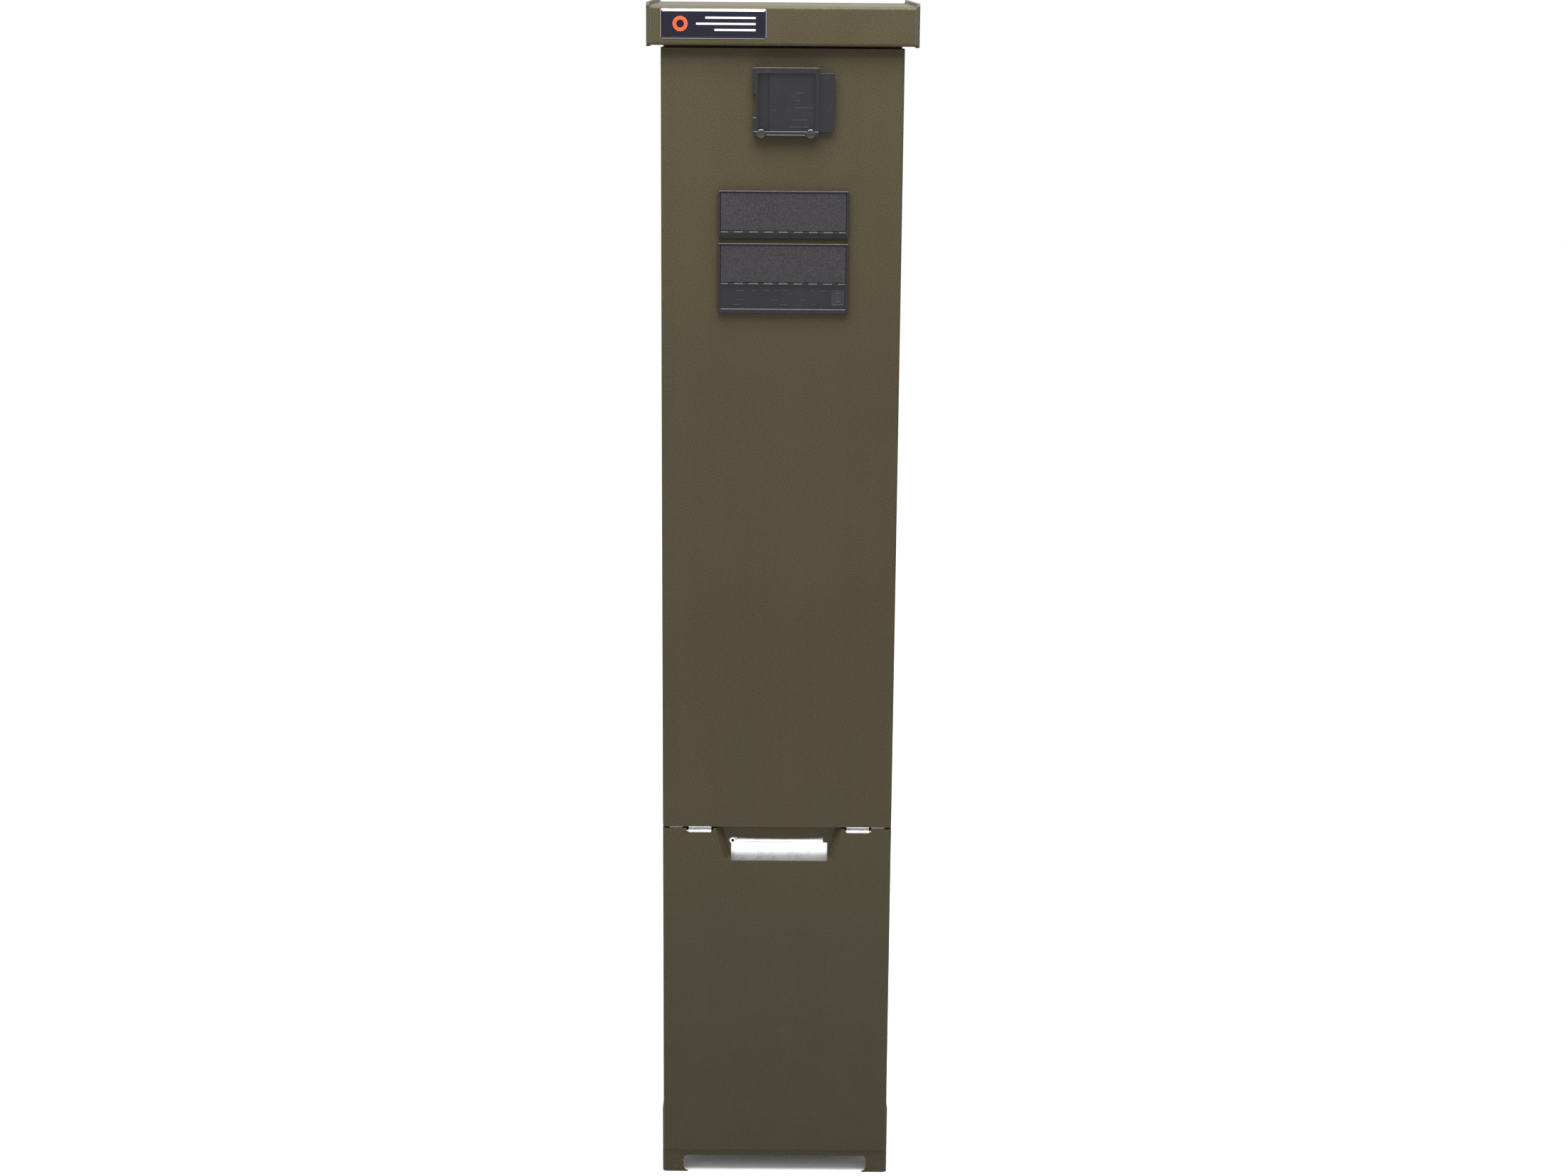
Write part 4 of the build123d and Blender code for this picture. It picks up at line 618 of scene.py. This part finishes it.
def labelBeads():
    bead = {
        "height": 1.15, "proud": 0.5, "sunk": 0.3, "radius": 0.483, "steps": 4, "creaseFrom": 50, "lipGap": 2.4,
        "topGap": 0.2, "frontSetback": 0.6, "lipRises": {"upper": (5.1,), "lower": (26.2, 3.3)},
    }
    for level, rises in bead["lipRises"].items():
        low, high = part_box(f"label_frame_{level}")
        left, right = low.x + bead["lipGap"] * mm, high.x - bead["lipGap"] * mm
        lines = [(left, right, low.z + rise * mm) for rise in rises]
        topLeft, topRight = low.x + bead["topGap"] * mm, high.x - bead["topGap"] * mm
        lines.append((topLeft, topRight, high.z - bead["height"] / 2 * mm))
        moulding(f"label_beads_{level}", low.y + bead["frontSetback"] * mm, bead, lines)


def lockCoverBeads():
    bead = {
        "height": 1.2, "proud": 0.5, "sunk": 0.3, "radius": 0.504, "steps": 4, "creaseFrom": 50, "endGap": 0.3,
        "footRise": 4.1, "ledgeRise": 1.3, "ledgeGap": 12,
    }
    low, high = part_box("lock_cover_frame")
    left, right = low.x + bead["endGap"] * mm, high.x - bead["endGap"] * mm
    lines = [
        (left, right, high.z - bead["height"] / 2 * mm),
        (left, right, low.z + bead["footRise"] * mm),
        (low.x + bead["ledgeGap"] * mm, high.x - bead["ledgeGap"] * mm, low.z + bead["ledgeRise"] * mm),
    ]
    moulding("lock_cover_beads", low.y, bead, lines)


def coverScrews():
    screw = {
        "rim": 0.15, "dome": ((0.12, 0.2), (0.35, 0.3), (0.6, 0.2), (0.6, 0.1)), "sides": 40, "shank": 1.45,
        "shankSides": 32, "socket": 0.55, "socketInset": 0.05, "creaseFrom": 45,
    }
    low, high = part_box("lock_cover_screws")
    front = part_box("lock_cover_frame")[0].y
    radius = (high.z - low.z) / 2
    middle = Vector((low.x + radius, front - screw["rim"] / 2 * mm, (low.z + high.z) / 2))
    shankMiddle = (middle.x, (front + high.y) / 2, middle.z)
    shank = rod("shank", shankMiddle, screw["shank"] * mm, high.y - front, "Y", screw["shankSides"])
    head = rod("head", middle, radius, screw["rim"] * mm, "Y", screw["sides"])
    pickFaces(head, lambda centre, normal: normal.y < -0.9)
    stepForward(screw["dome"], Vector((2 * radius, 1, 2 * radius)), middle)
    bpy.ops.mesh.inset(thickness=screw["socketInset"] * mm, depth=-screw["socket"] * mm)
    bpy.ops.object.mode_set(mode="OBJECT")
    left = joined([shank, head], "screw")
    right = copyTo(left, (high.x - low.x - 2 * radius, 0, 0))
    piece = evenShading(joined([left, right], "lock_cover_screws_domed"), screw["creaseFrom"])
    place(piece, "door", finishes["rubbed_plastic"])
    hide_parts("lock_cover_screws")


def labelMarks():
    mark = {
        "height": 0.9, "proud": 0.55, "sunk": 0.2, "radius": 0.25, "left": 4.5, "right": 94.0, "rowShift": 1.5,
        "rises": (7.2, 11.4, 15.6, 19.8), "shares": (0.15, 0.3, 0.3, 0.6),
        "lengths": (3.2, 5.0, 7.4), "gaps": (2.2, 4.0, 6.5), "stripDepth": 1.8,
    }
    tile = {
        "left": 14.5, "right": 3.5, "foot": 7.0, "head": 21.0, "band": 1.1, "slope": 0.25,
        "rings": (-0.45, 0.45, -0.45),
    }
    low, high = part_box("label_frame_lower")
    floor = low.y + mark["stripDepth"] * mm
    front, back = floor - mark["proud"] * mm, floor + mark["sunk"] * mm
    bars = []
    for row, rise in enumerate(mark["rises"]):
        start = mark["left"] + row * mark["rowShift"]
        while start < mark["right"]:
            length = random.choice(mark["lengths"])
            if random.random() < mark["shares"][row]:
                bar = block(
                    "mark",
                    (low.x + start * mm, front, low.z + rise * mm),
                    (low.x + (start + length) * mm, back, low.z + (rise + mark["height"]) * mm),
                )
                bars.append(roundEdges(bar, mark["radius"] * mm))
            start += length + random.choice(mark["gaps"])
    nested = block(
        "nested",
        (high.x - tile["left"] * mm, front, low.z + tile["foot"] * mm),
        (high.x - tile["right"] * mm, back, low.z + tile["head"] * mm),
    )
    pickFaces(nested, lambda centre, normal: normal.y < -0.9)
    for step in tile["rings"]:
        bpy.ops.mesh.inset(thickness=tile["band"] * mm)
        bpy.ops.mesh.inset(thickness=tile["slope"] * mm, depth=step * mm)
    bpy.ops.object.mode_set(mode="OBJECT")
    bars.append(nested)
    piece = evenShading(joined(bars, "label_strip_marks"))
    place(piece, "door", finishes["rubbed_plastic"])


def weldSpots():  # where the members, rail and studs inside are welded to the shell's walls
    inset = {"member": 5, "rear": 6, "back": 8, "top": 12, "mid": 8, "midBehind": 3, "backTop": 18, "stud": 6}
    backRow = {"count": 5, "pitch": 40}
    low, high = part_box("cabinet_shell")
    railLow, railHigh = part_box("cable_rail")
    front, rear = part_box("top_cross_member_front")[1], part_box("top_cross_member_rear")[0]
    midLow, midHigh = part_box("mid_cross_member")
    studLow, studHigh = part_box("mounting_spacers")
    side = [(y, high.z - inset["top"] * mm) for y in (
        front.y - inset["member"] * mm, rear.y + inset["rear"] * mm, high.y - inset["back"] * mm
    )]
    side += [(y, (railLow.z + railHigh.z) / 2) for y in (
        railLow.y + inset["member"] * mm, railHigh.y - inset["member"] * mm
    )]
    side += [(midHigh.y + inset["midBehind"] * mm, z) for z in (
        midLow.z + inset["mid"] * mm, midHigh.z - inset["mid"] * mm
    )]
    back = [
        ((step - (backRow["count"] - 1) / 2) * backRow["pitch"] * mm, high.z - inset["backTop"] * mm)
        for step in range(backRow["count"])
    ]
    back += [
        (x, z)
        for x in (studLow.x + inset["stud"] * mm, studHigh.x - inset["stud"] * mm)
        for z in (studLow.z + inset["stud"] * mm, studHigh.z - inset["stud"] * mm)
    ]
    return (
        ("X", Vector((-1, 0, 0)), [Vector((low.x, y, z)) for y, z in side]),
        ("X", Vector((1, 0, 0)), [Vector((high.x, y, z)) for y, z in side]),
        ("Y", Vector((0, 1, 0)), [Vector((x, high.y, z)) for x, z in back]),
    )


def shellWelds():
    weld = {"radius": 2.4, "proud": 0.35, "sides": 28, "rim": 0.7, "dish": 0.5, "dishDepth": 0.2, "round": 0.2}
    buttons = []
    for axis, out, spots in weldSpots():
        first = rod("weld", spots[0], weld["radius"] * mm, 2 * weld["proud"] * mm, axis, weld["sides"])
        pickFaces(first, lambda middle, normal: normal.dot(out) > 0.9)
        bpy.ops.mesh.inset(thickness=weld["rim"] * mm, depth=0)
        bpy.ops.mesh.inset(thickness=weld["dish"] * mm, depth=-weld["dishDepth"] * mm)
        buttons.append(roundEdges(first, weld["round"] * mm))
        buttons += [copyTo(first, spot - spots[0]) for spot in spots[1:]]
    piece = evenShading(joined(buttons, "shell_spot_welds"))
    place(piece, "cabinet", finishes["body_paint"])


def fuseCap(low, high, fuse):
    cap = block("cap", low, high)
    pickEdges(cap, lambda one, other: abs(one.z - other.z) > 1 * mm)
    bpy.ops.mesh.bevel(offset=fuse["corner"] * mm, segments=4, affect="EDGES")
    pickFaces(cap, lambda centre, normal: abs(normal.z) > 0.9)
    bpy.ops.mesh.inset(thickness=fuse["dishInset"] * mm, depth=-fuse["dish"] * mm)
    return roundEdges(cap, fuse["capRadius"] * mm)


def fuseLinks():
    fuse = {
        "cap": 4.0, "waist": 0.8, "corner": 3.0, "bodyRadius": 0.5, "capRadius": 0.4, "dishInset": 2.2, "dish": 0.5,
    }
    low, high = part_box("fuse_links")
    poles = []
    for number in (1, 2, 3):
        barLow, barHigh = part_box(f"phase_bar_{number}")
        poles.append((barLow.x + barHigh.x) / 2)
    right = 2 * poles[0] - low.x
    waist, cap = fuse["waist"] * mm, fuse["cap"] * mm
    body = block("body", (low.x + waist, low.y + waist, low.z + cap), (right - waist, high.y - waist, high.z - cap))
    pickEdges(body, lambda one, other: abs(one.z - other.z) > 5 * mm)
    bpy.ops.mesh.bevel(offset=fuse["corner"] * mm, segments=5, affect="EDGES")
    roundEdges(body, fuse["bodyRadius"] * mm)
    foot = fuseCap(low, (right, high.y, low.z + cap), fuse)
    head = copyTo(foot, (0, 0, high.z - cap - low.z))
    steps = [(pole - poles[0], 0, 0) for pole in poles[1:]]
    bodies = [body] + [copyTo(body, step) for step in steps]
    caps = [foot, head] + [copyTo(end, step) for step in steps for end in (foot, head)]
    ceramics = evenShading(joined(bodies, "fuse_ceramic_bodies"))
    place(ceramics, "fuse_carrier", finishes["fuse_ceramic"])
    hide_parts("fuse_links")
    ends = evenShading(joined(caps, "fuse_end_caps"))
    place(ends, "fuse_carrier", finishes["terminal_metal"])


def carrierRibs():
    rib = {"count": 9, "pitch": 5.6, "width": 1.6, "proud": 0.7, "sunk": 0.5, "foot": 21, "head": 11, "radius": 0.5}
    low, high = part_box("switch_carrier")
    left = -((rib["count"] - 1) / 2 * rib["pitch"] + rib["width"] / 2)
    first = block(
        "rib",
        (left * mm, low.y - rib["proud"] * mm, high.z - rib["foot"] * mm),
        ((left + rib["width"]) * mm, low.y + rib["sunk"] * mm, high.z - rib["head"] * mm),
    )
    roundEdges(first, rib["radius"] * mm, 3)
    ribs = [first] + [copyTo(first, (step * rib["pitch"] * mm, 0, 0)) for step in range(1, rib["count"])]
    piece = evenShading(joined(ribs, "carrier_grip_ribs"))
    place(piece, "fuse_carrier", finishes["switch_grey"])


def switchSlats():
    slat = {
        "count": 10, "pitch": 10.5, "height": 3.2, "half": 0.9, "rise": 22, "front": 42, "back": 6, "radius": 0.5,
    }
    low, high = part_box("switch_base")
    first = block(
        "slat",
        (low.x - slat["half"] * mm, high.y - slat["front"] * mm, low.z + slat["rise"] * mm),
        (low.x + slat["half"] * mm, high.y - slat["back"] * mm, low.z + (slat["rise"] + slat["height"]) * mm),
    )
    roundEdges(first, slat["radius"] * mm, 3)
    column = [first] + [copyTo(first, (0, 0, step * slat["pitch"] * mm)) for step in range(1, slat["count"])]
    column += [copyTo(one, (high.x - low.x, 0, 0)) for one in column]
    piece = evenShading(joined(column, "switch_side_ribs"))
    place(piece, "cabinet", finishes["switch_grey"])


shapes = (
    badgeCast, roofSeams, slideRidges, labelBeads, lockCoverBeads, coverScrews, labelMarks, shellWelds, fuseLinks,
    carrierRibs, switchSlats,
)
for shape in shapes:
    shape()
    print("made:", shape.__name__)
for node, radius in edgeRadii.items():
    finished(node, radius)
print("edges rounded:", len(edgeRadii))


# camera, light and floor
def setStage():
    view = {
        "lens": 61.13, "sensor": 36, "pitch": 0.23157, "roll": 0.00789, "yaw": 0.00461,
        "place": (-0.00623, -2.48529, 1.14560),
    }
    camera = bpy.data.cameras.new("camera")
    camera.lens = view["lens"]
    camera.sensor_width = view["sensor"]
    stand = bpy.data.objects.new("camera", camera)
    bpy.context.scene.collection.objects.link(stand)
    level, turn = math.cos(view["pitch"]), view["yaw"]
    ahead = Vector((math.sin(turn) * level, math.cos(turn) * level, -math.sin(view["pitch"])))
    right = Vector((math.cos(turn), -math.sin(turn), 0))
    up = right.cross(ahead)
    side = right * math.cos(view["roll"]) + up * math.sin(view["roll"])
    top = -right * math.sin(view["roll"]) + up * math.cos(view["roll"])
    turnMatrix = stand.matrix_world.to_3x3()
    turnMatrix.col[0], turnMatrix.col[1], turnMatrix.col[2] = side, top, -ahead
    stand.matrix_world = turnMatrix.to_4x4()
    stand.location = view["place"]
    bpy.context.scene.camera = stand

    lamps = {
        "overheadSoftbox": {
            "place": (-0.08, -0.50, 1.85), "aim": (-0.06, -0.36, 0.9), "size": (1.2, 1.0), "power": 60,
        },
    }
    for name, lamp in lamps.items():
        light = bpy.data.lights.new(name, "AREA")
        light.shape = "RECTANGLE"
        light.size, light.size_y = lamp["size"]
        light.energy = lamp["power"]
        holder = bpy.data.objects.new(name, light)
        holder.location = lamp["place"]
        holder.rotation_euler = (Vector(lamp["aim"]) - Vector(lamp["place"])).to_track_quat("-Z", "Y").to_euler()
        bpy.context.scene.collection.objects.link(holder)

    room = {"colour": (1, 1, 1, 1), "brightness": 1.06, "floorSize": 14, "floorPlace": (0, 2, 0)}
    world = bpy.data.worlds.new("studio")
    world.use_nodes = True
    background = world.node_tree.nodes["Background"]
    background.inputs["Color"].default_value = room["colour"]
    background.inputs["Strength"].default_value = room["brightness"]
    bpy.context.scene.world = world
    bpy.context.scene.view_settings.view_transform = "Standard"

    deselect()
    bpy.ops.mesh.primitive_plane_add(size=room["floorSize"], location=room["floorPlace"])
    floor = bpy.context.object
    floor.name = floor.data.name = "floor"
    floor.data.materials.append(paleFloor())


setStage()
print("stage set")
